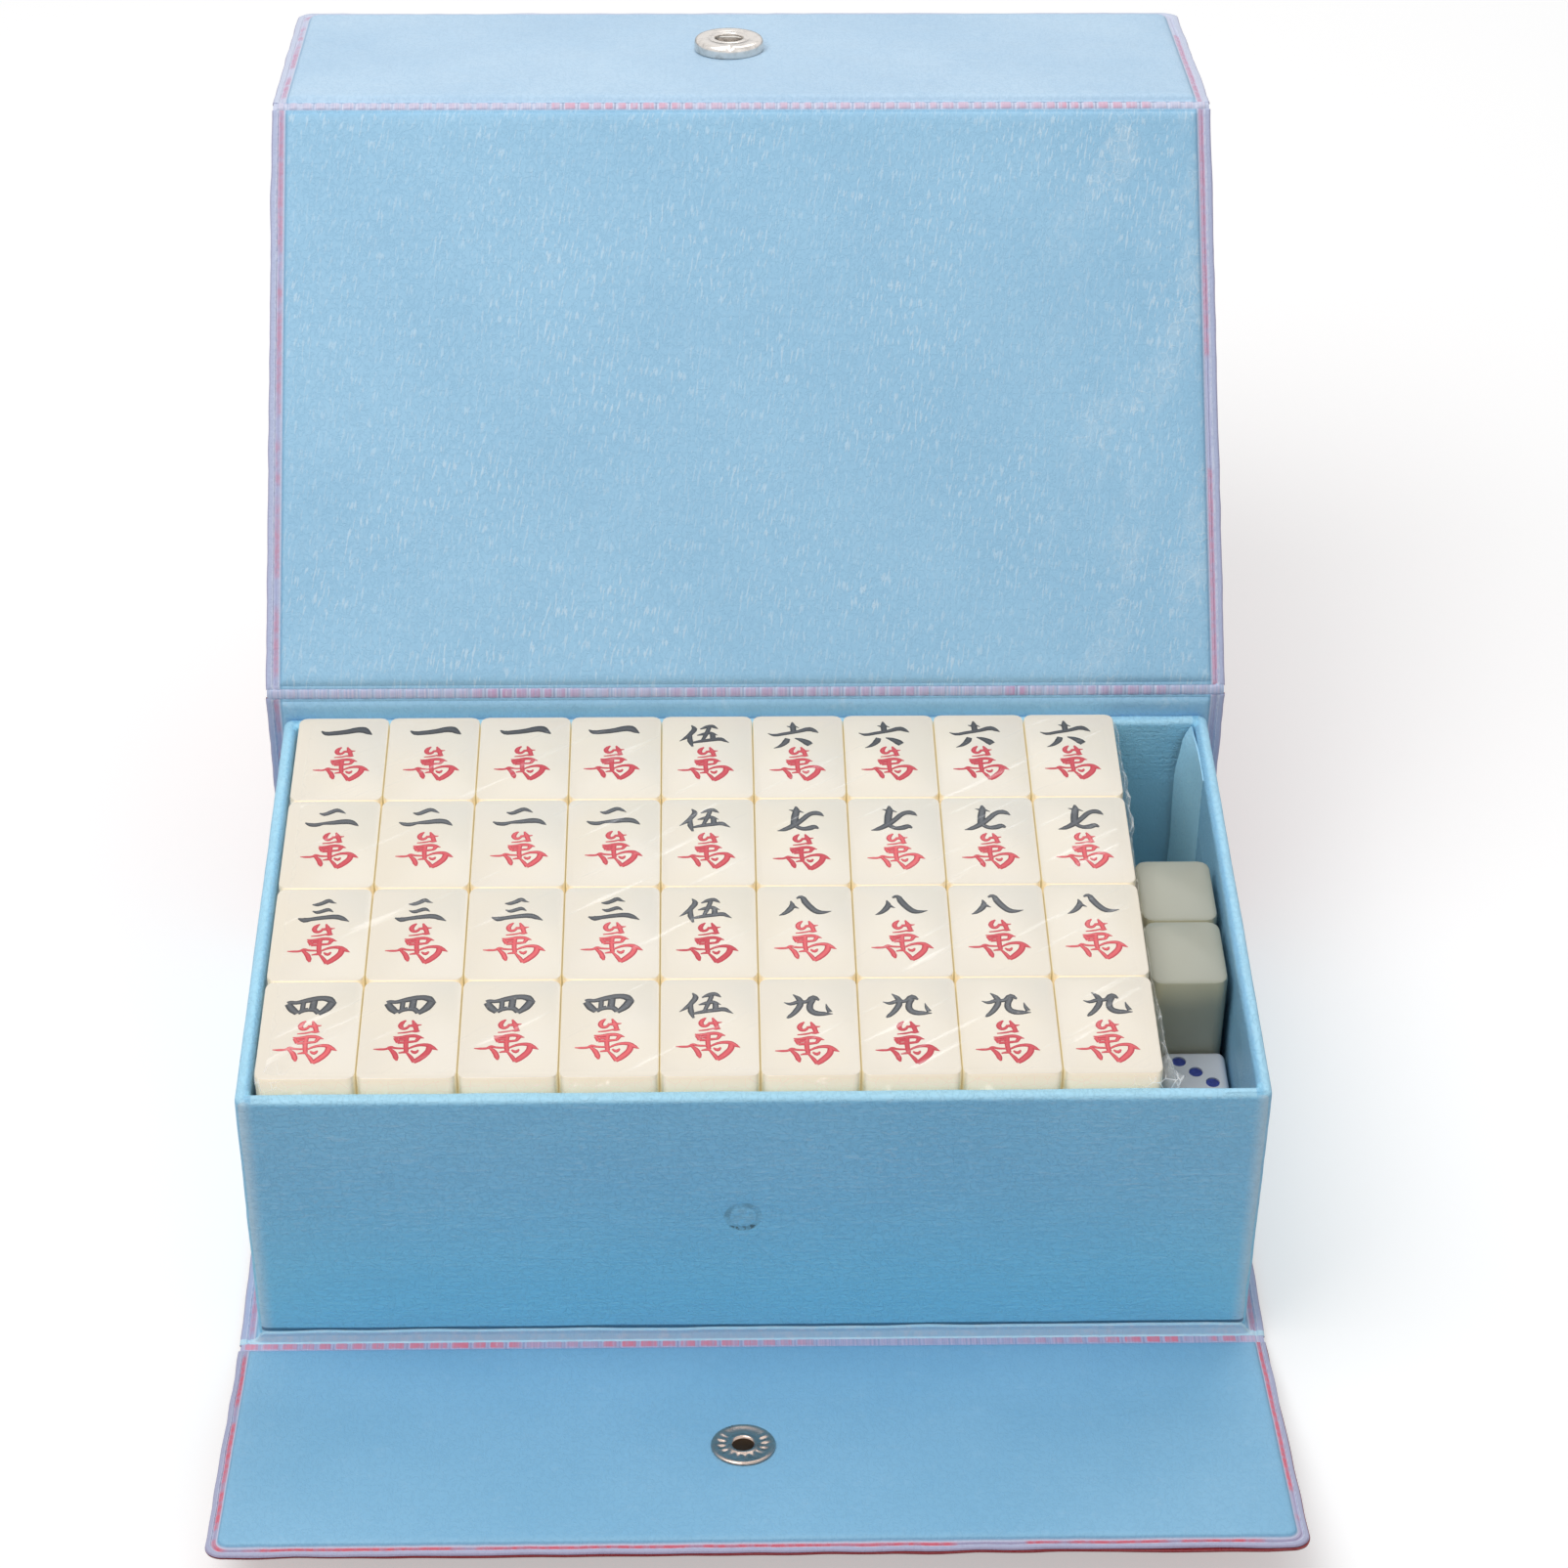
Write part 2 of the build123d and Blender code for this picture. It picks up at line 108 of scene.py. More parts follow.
# Shader arithmetic: a wire is one output socket, and sums of wires add Math nodes
class Wire:
    def __init__(self, tree, socket=None):
        self.tree = tree
        self.socket = socket

    def node(self, kind, settings=None, sockets=None, out=0):
        made = self.tree.nodes.new("ShaderNode" + kind)
        for key, value in (settings or {}).items():
            setattr(made, key, value)
        for key, value in (sockets or {}).items():
            if isinstance(value, Wire):
                self.tree.links.new(value.socket, made.inputs[key])
            else:
                made.inputs[key].default_value = value
        return Wire(self.tree, made.outputs[out])

    def maths(self, operation, *parts):
        return self.node("Math", {"operation": operation}, dict(enumerate(parts)))

    def step(self, low, high):     # 0 below low, 1 above high, smooth between; falls where high is the lower
        return self.node("MapRange", {"interpolation_type": "SMOOTHSTEP"},
                         {"Value": self, "From Min": low, "From Max": high})

    def band(self, centre, half, soft):
        return (self - centre).unsigned().step(half + soft, half)

    def tint(self, base, colour):     # base colour turned to colour where this wire is 1
        return self.node("Mix", {"data_type": "RGBA"}, {0: self, 6: base, 7: colour}, 2)

    def axes(self):
        split = self.node("SeparateXYZ", None, {0: self}).socket.node
        return [Wire(self.tree, output) for output in split.outputs]

    def stretch(self, x, y, z):
        return self.node("VectorMath", {"operation": "MULTIPLY"}, {0: self, 1: (x, y, z)})

    def turned(self, angle):        # about Z, in radians
        return self.node("Mapping", None, {"Vector": self, "Rotation": (0, 0, angle)})

    def noise(self, scale, detail=2.0, roughness=0.5):
        return self.node("TexNoise", None, {"Vector": self, "Scale": scale, "Detail": detail,
                                            "Roughness": roughness})

    def cells(self, scale, feature="F1"):
        return self.node("TexVoronoi", {"feature": feature}, {"Vector": self, "Scale": scale}, "Distance")

    def bump(self, strength, distance=0.0002):      # distance in m
        return self.node("Bump", None, {"Height": self, "Strength": strength, "Distance": distance})


operations = {
    "__add__": "ADD", "__radd__": "ADD", "__sub__": "SUBTRACT", "__mul__": "MULTIPLY",
    "__rmul__": "MULTIPLY", "__truediv__": "DIVIDE", "__pow__": "POWER", "most": "MAXIMUM",
    "least": "MINIMUM", "unsigned": "ABSOLUTE", "floor": "FLOOR",
}
for method, operation in operations.items():
    setattr(Wire, method, lambda *parts, operation=operation: parts[0].maths(operation, *parts))


def colour(red, green, blue):       # 0-255 display values to Blender's linear ones
    linear = [((c / 255 + 0.055) / 1.055) ** 2.4 if c > 10 else c / 255 / 12.92 for c in (red, green, blue)]
    return (*linear, 1)


white = (1, 1, 1, 1)
black = (0, 0, 0, 1)


def layered(base, *layers):         # each layer is a mask and the colour that it brings
    for mask, paint in layers:
        base = mask.tint(base, paint)
    return base


def newMaterial(name):
    material = bpy.data.materials.new(name)
    material.use_nodes = True
    material.node_tree.nodes.clear()
    return material, Wire(material.node_tree)


def placeInMm(start):
    return start.node("TexCoord", out="Object").stretch(1000, 1000, 1000)


def marked(start, name):            # what the mesh carries point by point
    return start.node("Attribute", {"attribute_name": name}, out="Vector")


def setShader(material, shader):
    output = material.node_tree.nodes.new("ShaderNodeOutputMaterial")
    material.node_tree.links.new(shader.socket, output.inputs["Surface"])
    return material


def principled(material, base, rough, normal, more=None):
    sockets = {"Base Color": base, "Roughness": rough, "Normal": normal, **(more or {})}
    return setShader(material, normal.node("BsdfPrincipled", None, sockets))


studio = {
    "world": 0.38,              # even light from all round
    "key": (-300, -120, 850, 620, 4.1),     # x, y, z, size in mm, watts
    "back": (160, 520, 700, 520, 1.3),
    "fill": (520, -520, 420, 600, 0.2),
    "aim": (0, 10, 50),         # mm
    "floorSize": 6,             # m
    "floorHeight": -0.05,       # mm
    "floorColour": colour(218, 218, 218),
    "floorLift": 0.42,          # brings the lit floor up to white and leaves the shadow
}


def makeStudio():
    scene = bpy.context.scene
    scene.view_settings.view_transform = "Standard"
    world = bpy.data.worlds.new("studio")
    scene.world = world
    world.use_nodes = True
    tree = world.node_tree
    tree.nodes.clear()
    start = Wire(tree)
    rays = start.node("LightPath").socket.node
    camera, glossy, through = (Wire(tree, rays.outputs["Is %s Ray" % kind])
                               for kind in ("Camera", "Glossy", "Transmission"))
    strength = studio["world"] + camera.most(glossy).most(through) * (1 - studio["world"])
    background = start.node("Background", None, {"Color": white, "Strength": strength})
    output = tree.nodes.new("ShaderNodeOutputWorld")
    tree.links.new(background.socket, output.inputs["Surface"])
    for name in ("key", "back", "fill"):
        x, y, z, size, power = studio[name]
        bpy.ops.object.light_add(type="AREA", location=(x * mm, y * mm, z * mm))
        lamp = bpy.context.object
        lamp.name = name + "_light"
        lamp.data.size = size * mm
        lamp.data.energy = power
        aim = Vector(studio["aim"]) * mm - lamp.location
        lamp.rotation_euler = aim.to_track_quat("-Z", "Y").to_euler()
    startFresh()
    bpy.ops.mesh.primitive_plane_add(size=studio["floorSize"], location=(0, 0, studio["floorHeight"] * mm))
    floor = bpy.context.object
    floor.name = "floor"
    material, start = newMaterial("floor")
    diffuse = start.node("BsdfDiffuse", None, {"Color": studio["floorColour"]})
    lift = start.node("Emission", None, {"Color": white, "Strength": studio["floorLift"]})
    lifted = start.node("AddShader", None, {0: diffuse, 1: lift})
    seen = start.node("LightPath", out="Is Camera Ray")
    floor.data.materials.append(setShader(material, start.node("MixShader", None,
                                                               {0: seen, 1: diffuse, 2: lifted})))


makeCamera()
makeStudio()
print("camera and studio ready")


# Leathercloth: a blue face and a red face, with hems, folds, grain and specks, and painted highlights, sheen and
# shade
trayPlaces = {          # mm from the middle or the table: where a mask starts and where it is full, or for the foot's painted shadow line its height, half width and softness
                        # the foot's line its height, half width and softness
    "belowRim": (51.6, 50.8), "sideWall": (74.5, 74.7), "withinSides": (75.7, 75.1),
    "withinEnds": (45.4, 44.8), "offEnds": (44.2, 43.4), "paintedLightLow": (40, 4), "rim": (51.1, 51.6),
    "rimOffSides": (74.6, 74.4), "rimOuterHalf": (75.2, 76.0), "front": (-46.2, -46.4),
    "frontCorner": (74.0, 76.2), "footShadow": (3.85, 0.22, 0.25), "paintedLightStrip": (2.0, 1.7),
}
imprint = {"x": -1.7, "z": 27.5, "radius": 2.45, "depth": 0.12}     # what the snap's post has pressed in


def makeLeathercloth(name, spec):
    material, start = newMaterial(name)
    at = trayPlaces
    if spec.get("follow", True):        # the cloth attribute is mm across, mm along, mm from the hem's edge
        cloth = marked(start, "cloth")
        flat = cloth.stretch(1, 1, 0)
    else:
        cloth = flat = placeInMm(start)
    across, along, edge = cloth.axes()
    mottle = flat.noise(0.22, 3, 0.6)
    grain = flat.noise(2.4, 3, 0.65)
    wrinkle = flat.stretch(*spec.get("stretch", (1, 1, 1))).noise(spec.get("wrinkleScale", 0.35), 4, 0.6)
    worm = flat.stretch(1, 0.7, 1).noise(0.85, 3, 0.55).band(0.5, 0.012, 0.035)
    base = layered(flat.noise(0.035, 3).step(0.25, 0.75).tint(spec["dark"], spec["light"]),
                   (grain.step(0.55, 0.8) * 0.14, spec["shade"]), (worm * 0.12, spec["shade"]),
                   # painted highlights along the wrinkles' crests, in the glint colour
                   (wrinkle.step(0.56, 0.72) * spec.get("wrinkleHighlight", 0.2), spec["glint"]))
    rough = spec["roughness"] + (mottle - 0.5) * 0.25 + (grain - 0.5) * 0.2
    height = flat.cells(1.9) * 0.3 + grain * 0.4 + wrinkle * spec.get("wrinkleHeight", 0.8) - worm * 0.5
    if "glints" in spec:                # painted glints: short bright highlight strokes along the cloth
        strokes = flat.turned(0.17).stretch(*spec["glints"]["stretch"]).noise(1, 2, 0.4)
        patches = 0.45 + flat.noise(0.05, 2).step(0.4, 0.65) * 0.55
        mark = strokes.step(0.56, 0.66) * patches * spec["glints"]["strength"]
        base = mark.tint(base, spec["glint"])
        rough = rough - mark * 0.2
        height = height + mark * 0.8
    if "crackle" in spec:               # a net of fine crinkles over part of the panel, with painted sheen in patches and along the crinkles
        low, high, strength = spec["crackle"]
        warp = flat.node("VectorMath", {"operation": "ADD"}, {0: flat, 1: flat.noise(0.5, 3, 0.6)})
        net = warp.stretch(1, 0.7, 1).cells(0.5, "DISTANCE_TO_EDGE").step(0.05, 0.0)
        place = flat.turned(-1.2).stretch(0.25, 1, 1).noise(0.14, 3, 0.6).step(0.46, 0.66)
        place = across.step(low, high) * place
        base = layered(base, (place * 0.2 * mottle.step(0.35, 0.6), spec["glint"]),
                       (net * place * strength, spec["glint"]))
        height = height + net * place * 0.4
    if "specks" in spec:                # a few crumbs and scratches
        base = (flat.cells(0.03).step(0.014, 0.01) * spec["specks"]).tint(base, colour(96, 84, 78))
    if "inside" in spec:                # painted light and shade: inner walls painted paler at the ends and darker at the sides, painted highlights on the rim's top and the front corners, the lower outside wall painted lighter, and a painted shadow line at the foot
        front = along.step(*at["front"])
        fromSide, fromEnd = across.unsigned(), along.unsigned()
        below = edge.step(*at["belowRim"]).most(fromSide.step(*at["sideWall"]))
        within = fromSide.step(*at["withinSides"]) * fromEnd.step(*at["withinEnds"])
        besideRim = fromSide.step(*at["rimOffSides"]).most(fromSide.step(*at["rimOuterHalf"]))
        base = layered(base, (edge.step(*at["paintedLightLow"]) * 0.75, spec["low"]),
                       (within * below * 0.85, fromEnd.step(*at["offEnds"]).tint(*spec["inside"])),
                       (edge.step(*at["rim"]) * besideRim * 0.75, colour(180, 230, 253)),
                       (fromSide.step(*at["frontCorner"]) * front * 0.55, spec["corner"]),
                       (edge.band(*at["footShadow"]) * front * 0.8, colour(58, 92, 128)))
    if "hem" in spec:                   # a lilac strip, a broken pink line between pale ones, and painted shade where the pillow rises
        hem = spec["hem"]
        patchy = cloth.stretch(0.07, 0.07, 0).noise(1, 3, 0.6).step(hem["broken"], hem["broken"] + 0.09)
        fine = cloth.stretch(0.9, 0.9, 0).noise(1, 2).step(0.35, 0.6)
        line = edge.band(1.78, 0.34, 0.22) * (0.1 + patchy * 0.9) * (0.6 + fine * 0.4)
        base = layered(base, (edge.step(2.75, 2.4), hem["cloth"]), (edge.step(0.4, 0.05) * 0.55, hem["rim"]),
                       (edge.band(1.15, 0.12, 0.15) * (0.3 + 0.5 * fine), hem["pale"]), (line, hem["line"]),
                       (edge.band(2.38, 0.1, 0.12) * 0.6, hem["pale"]),
                       (edge.band(2.68, 0.14, 0.2) * 0.45, spec["shade"]))
    if spec.get("imprint"):             # a ring, greyer inside and darkest along its foot
        front = along.step(*at["front"])
        reach = ((across - imprint["x"]) ** 2 + (edge - imprint["z"]) ** 2) ** 0.5
        uneven = flat.noise(0.6, 3).step(0.38, 0.6)
        ring = reach.band(imprint["radius"], 0.28, 0.35) * front * (0.35 + 0.65 * uneven)
        inside = reach.step(imprint["radius"], 1.2) * front
        foot = reach.band(imprint["radius"] - 0.3, 0.5, 0.3) * front
        foot = foot * edge.step(imprint["z"] - 1.2, imprint["z"] - 2.0)
        base = layered(base, (inside * 0.2 * uneven, colour(150, 156, 150)),
                       (ring * 0.42, colour(96, 116, 116)),
                       (foot * flat.noise(1.4, 2).step(0.5, 0.62) * 0.8, colour(70, 84, 84)))
    if "dirt" in spec:
        base = (flat.noise(0.12, 4, 0.7).step(0.55, 0.8) * spec["dirt"]).tint(base, spec["shade"])
    if spec.get("paintedLightStrip"):         # painted light on the steep strip of the base's lining in front of the tray, with painted glints
        strip = along.step(*at["paintedLightStrip"])
        stripGlints = flat.stretch(0.5, 3, 1).noise(1.2, 3, 0.6).step(0.45, 0.7)
        base = layered(base, (strip * 0.85, colour(198, 238, 255)),
                       (strip * (0.1 + 0.6 * stripGlints), spec["glint"]))
    return principled(material, base, rough, height.bump(spec.get("bump", 0.35)),
                      {"Specular IOR Level": 0.45})


blueShades = {
    "light": colour(158, 205, 235), "dark": colour(151, 199, 230), "shade": colour(112, 166, 204),
    "glint": colour(222, 238, 249),
}
blueHem = {
    "cloth": colour(182, 191, 222), "pale": colour(214, 220, 238), "line": colour(202, 160, 188),
    "rim": colour(166, 150, 184), "broken": 0.4,
}
frontHem = {**blueHem, "cloth": colour(178, 180, 208), "line": colour(226, 116, 134), "broken": 0.38}
redShades = {
    "light": colour(190, 42, 46), "dark": colour(170, 30, 38), "shade": colour(110, 14, 22),
    "glint": colour(216, 92, 92),
}
redHem = {
    "cloth": colour(150, 28, 36), "pale": colour(196, 70, 78), "line": colour(120, 14, 24),
    "rim": colour(110, 14, 24), "broken": 0.3,
}
clothSpecs = {
    "lid_lining": {
        "hem": blueHem, "roughness": 0.46, "specks": 0.5, "crackle": (44, 66, 0.35), "wrinkleHighlight": 0.06,
        "glints": {"stretch": (2.5, 0.42, 1), "strength": 0.42}, "stretch": (1.3, 0.4, 1)},
    # the lid flap's lining and hem are the same cloth, painted paler for the sheen it shows at its grazing angle
    "lid_flap_lining": {
        "light": colour(190, 219, 242), "dark": colour(178, 210, 236), "wrinkleHighlight": 0.08,
        "hem": {**blueHem, "cloth": colour(202, 210, 232)}, "roughness": 0.42, "stretch": (0.5, 1.3, 1)},
    # the front flap's lining is the same cloth, painted darker for the shade it lies in before the tray
    "front_flap_lining": {
        "light": colour(144, 196, 228), "dark": colour(136, 190, 223), "hem": frontHem, "roughness": 0.5,
        "specks": 0.7, "wrinkleHighlight": 0.05, "wrinkleHeight": 0.3},
    "base_lining": {"hem": blueHem, "roughness": 0.42, "paintedLightStrip": True},
    "spine_lining": {"hem": blueHem, "roughness": 0.5},
    "outer_skin": {**redShades, "hem": redHem, "roughness": 0.42, "dirt": 0.25, "bump": 0.5},
    # the wrap's colours are painted bluer than the lining's, for the shade on the tray's walls
    "tray_wrap": {
        "light": colour(147, 209, 243), "dark": colour(141, 204, 239), "roughness": 0.38, "follow": False,
        "stretch": (0.22, 0.22, 1.5), "wrinkleScale": 1.0, "wrinkleHighlight": 0.16, "wrinkleHeight": 1.6,
        "bump": 0.6, "imprint": True, "glints": {"stretch": (0.7, 1, 2.2), "strength": 0.14},
        "inside": (colour(162, 224, 255), colour(134, 186, 220)), "low": colour(144, 226, 255),
        "corner": colour(214, 230, 240)},
    "tray_liner": {
        "light": colour(160, 208, 234), "dark": colour(150, 200, 228), "roughness": 0.6, "follow": False,
        "stretch": (0.4, 0.4, 1.2), "wrinkleHeight": 1.4, "wrinkleHighlight": 0.1,
        "inside": (colour(162, 224, 255), colour(130, 180, 214)), "low": colour(140, 190, 220),
        "corner": colour(160, 208, 234)},
    # the tuck is the same cloth, painted lighter for the light it catches where it bows out
    "corner_tuck": {
        "light": colour(176, 226, 250), "dark": colour(168, 220, 246), "roughness": 0.45, "follow": False,
        "wrinkleScale": 0.8, "wrinkleHeight": 0.6},
}
clothFinishes = {name: makeLeathercloth(name, {**blueShades, **spec}) for name, spec in clothSpecs.items()}
print("leathercloth ready")


# Panels of the case: each is a plane that starts at its fold
panelSizes = {                      # curves are (place, height) in mm
    "hem": [(0, 0.05), (0.12, 0.3), (0.35, 0.42), (0.9, 0.44), (1.08, 0.48), (1.25, 0.26), (1.6, 0.24),
            (1.78, 0.47), (2.1, 0.42), (2.4, 0.46), (2.7, 0.78), (3.05, 1.0), (3.5, 1.1), (4.4, 1.15)],
    "foldEnd": [(0, 0.3), (0.18, 0.42), (0.45, 0.4), (0.7, 0.72), (1.05, 0.98), (1.5, 1.1), (2.2, 1.15)],
    "hemSteps": [0, 0.12, 0.35, 0.62, 0.9, 1.08, 1.25, 1.42, 1.6, 1.78, 1.94, 2.1, 2.4, 2.7, 3.05, 3.5, 4.2,
                 5.3, 7.0],
    "foldSteps": [0, 0.18, 0.45, 0.7, 1.05, 1.5, 2.2, 3.2, 4.6],
    # The base's lining stands up in front of the tray
    "ridge": [(0, 0.3), (0.18, 0.42), (0.3, 0.42), (0.38, 1.0), (0.46, 1.7), (0.55, 2.3), (0.64, 2.65),
              (0.72, 2.85), (0.78, 2.6), (0.84, 1.4), (0.9, 0.8)],
    "ridgeSteps": [0, 0.12, 0.24, 0.3, 0.38, 0.46, 0.55, 0.64, 0.72, 0.78, 0.84, 0.9, 1.05, 1.5, 2.2, 3.2,
                   4.6],
    "ridgeReach": 0.92,
    "ridgeEnds": (77.5, 76.2),
    "pitch": 1.7,
    "hemScale": 0.92,
    "frontHemScale": 0.66,
    "cornerRadius": 2.6,
    "pillowCornerRadius": 1.4,
    "hemSettles": 3,            # where the corner's radius has come down to the pillow's
    "clearOfHem": (3.4, 7),     # where marks and waves set in
    "clearOfFold": (1.5, 4),
    "plyThickness": 0.35,
    "outlineWave": 0.28,
    "outlineZone": 2.2,
    "redEdge": 0.34,            # how far the outer ply shows past the lining at the front flap's free edge
    "middleGap": 0.01,
}


def along(angle):                   # a direction in the side view, in degrees from straight up
    return Vector((0, math.sin(math.radians(angle)), math.cos(math.radians(angle))))


lidLean = 90 - joints["lid_fold"]["range_deg"][1]
flapLean = lidLean + 90 - joints["flap_fold"]["range_deg"][1]
frontLean = joints["front_fold"]["range_deg"][0]
frontFold, lidFold, flapFold = (
    Vector(joints[fold]["pos_m"]) / mm for fold in ("front_fold", "lid_fold", "flap_fold"))
rearFold = Vector((0, lidFold.y, frontFold.z))


def makePanel(origin, lean, turn, body, free=False):
    return {"origin": origin, "along": along(lean), "out": along(lean + turn), "body": body, "free": free}


panels = {
    "front_flap": makePanel(frontFold, frontLean, 90, "front_flap", True),
    "base": makePanel(frontFold, 90, -90, "tray_and_base"),
    "spine": makePanel(rearFold, 0, -90, "tray_and_base"),
    "lid": makePanel(lidFold, lidLean, -90, "lid"),
    "lid_flap": makePanel(flapFold, flapLean, -90, "lid_flap", True),
}


def onPanel(name, x, t, h):
    panel = panels[name]
    return panel["origin"] + Vector((x, 0, 0)) + panel["along"] * t + panel["out"] * h


def boxInMm(node):
    return [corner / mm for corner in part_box(node)]


def spotsOn(name, node):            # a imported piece's points in mm, across the panel and from its fold
    spots = [v.co / mm - panels[name]["origin"] for v in nodes[node].data.vertices]
    return [spot.x for spot in spots], [spot.dot(panels[name]["along"]) for spot in spots]


def panelExtent(name):
    xs, reach = spotsOn(name, name + "_lining")
    return max(xs), min(reach), max(reach)


def lookUp(curve, x):
    for (x0, y0), (x1, y1) in zip(curve, curve[1:]):
        if x <= x1:
            return y0 + (y1 - y0) * ((x - x0) / (x1 - x0))
    return curve[-1][1]


def smooth(low, high, x):
    f = min(max((x - low) / (high - low), 0), 1)
    return f * f * (3 - 2 * f)


def ripple(x, y, z, size):
    return noise.noise(Vector((x, y, z)) / size)


def knots(start, end, startSteps, endSteps, pitch):
    first, last = start + startSteps[-1], end - endSteps[-1]
    count = max(round((last - first) / pitch), 1)
    middle = [first + (last - first) * k / count for k in range(1, count)]
    return [start + s for s in startSteps] + middle + [end - s for s in reversed(endSteps)]


def crease(x, t, spec):             # a pressed line with a soft ridge at each side
    ax, at, bx, bt, width, depth = spec
    run = Vector((bx - ax, bt - at))
    f = max(0, min(1, (x - ax) * run.x / run.length_squared + (t - at) * run.y / run.length_squared))
    away = math.hypot(x - ax - run.x * f, t - at - run.y * f) / width
    taper = math.sin(math.pi * min(max(f, 0.03), 0.97)) ** 0.5
    return depth * taper * (-math.exp(-away * away) + 0.5 * math.exp(-((away - 1.9) ** 2)))


def rename(piece, name):
    piece.name = piece.data.name = name
    return piece


def gridPiece(name, columns, rows, place):
    startFresh()
    bpy.ops.mesh.primitive_grid_add(x_subdivisions=columns - 1, y_subdivisions=rows - 1, size=1)
    piece = rename(bpy.context.object, name)
    marks = piece.data.attributes.new("cloth", "FLOAT_VECTOR", "POINT")
    for point in piece.data.vertices:
        i = round((point.co.x + 0.5) * (columns - 1))
        j = round((point.co.y + 0.5) * (rows - 1))
        spot, mark = place(i, j)
        point.co = spot * mm
        marks.data[point.index].vector = mark
    return piece


def facing(piece, direction, counts=lambda spot: True):     # turns the sheet over if it looks the wrong way
    faces = [face for face in piece.data.polygons if counts(face.center / mm)]
    if sum((face.normal * face.area for face in faces), Vector()).dot(direction) < 0:
        piece.data.flip_normals()


def thicken(piece, thickness):
    made = piece.modifiers.new("thickness", "SOLIDIFY")
    made.thickness = thickness * mm
    made.offset = -1
    made.use_even_offset = False
    pick(piece)
    bpy.ops.object.modifier_apply(modifier=made.name)


def smoothShade(piece, degrees):
    pick(piece)
    bpy.ops.object.shade_smooth_by_angle(angle=math.radians(degrees))


def dress(piece, material, body=None):
    piece.data.materials.clear()
    piece.data.materials.append(material)
    if body is not None:
        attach(piece, body)


# Marks that each panel has taken in use: creases as x, along, x, along, width, depth in mm, and dents as
# x, along, size, depth
panelMarks = {
    "front_flap": {
        "creases": [(4.2, 15.1, 25.6, 3.3, 0.9, 0.16), (9, 18.1, 32.6, 8.4, 1.1, 0.14),
                    (-9, 27, -24, 31, 1.2, 0.06)],
        "dents": [(-2.0, 26.8, 9.0, 0.16)],
        "wave": 0.05,
    },
    "lid_flap": {
        "creases": [(5, 28, 44, 20, 2.6, 0.12), (6, 31, 60, 33, 3.0, 0.1), (-10, 30, -46, 24, 3.0, 0.08)],
        "dents": [(-2.0, 28.05, 11.0, 0.2)],
        "wave": 0.09,
    },
    "lid": {"creases": [(66, 20, 60, 62, 1.6, 0.12), (70, 50, 66, 88, 1.4, 0.1)], "dents": [], "wave": 0.09},
    "base": {"creases": [], "dents": [], "wave": 0.03},
    "spine": {"creases": [], "dents": [], "wave": 0.05},
}


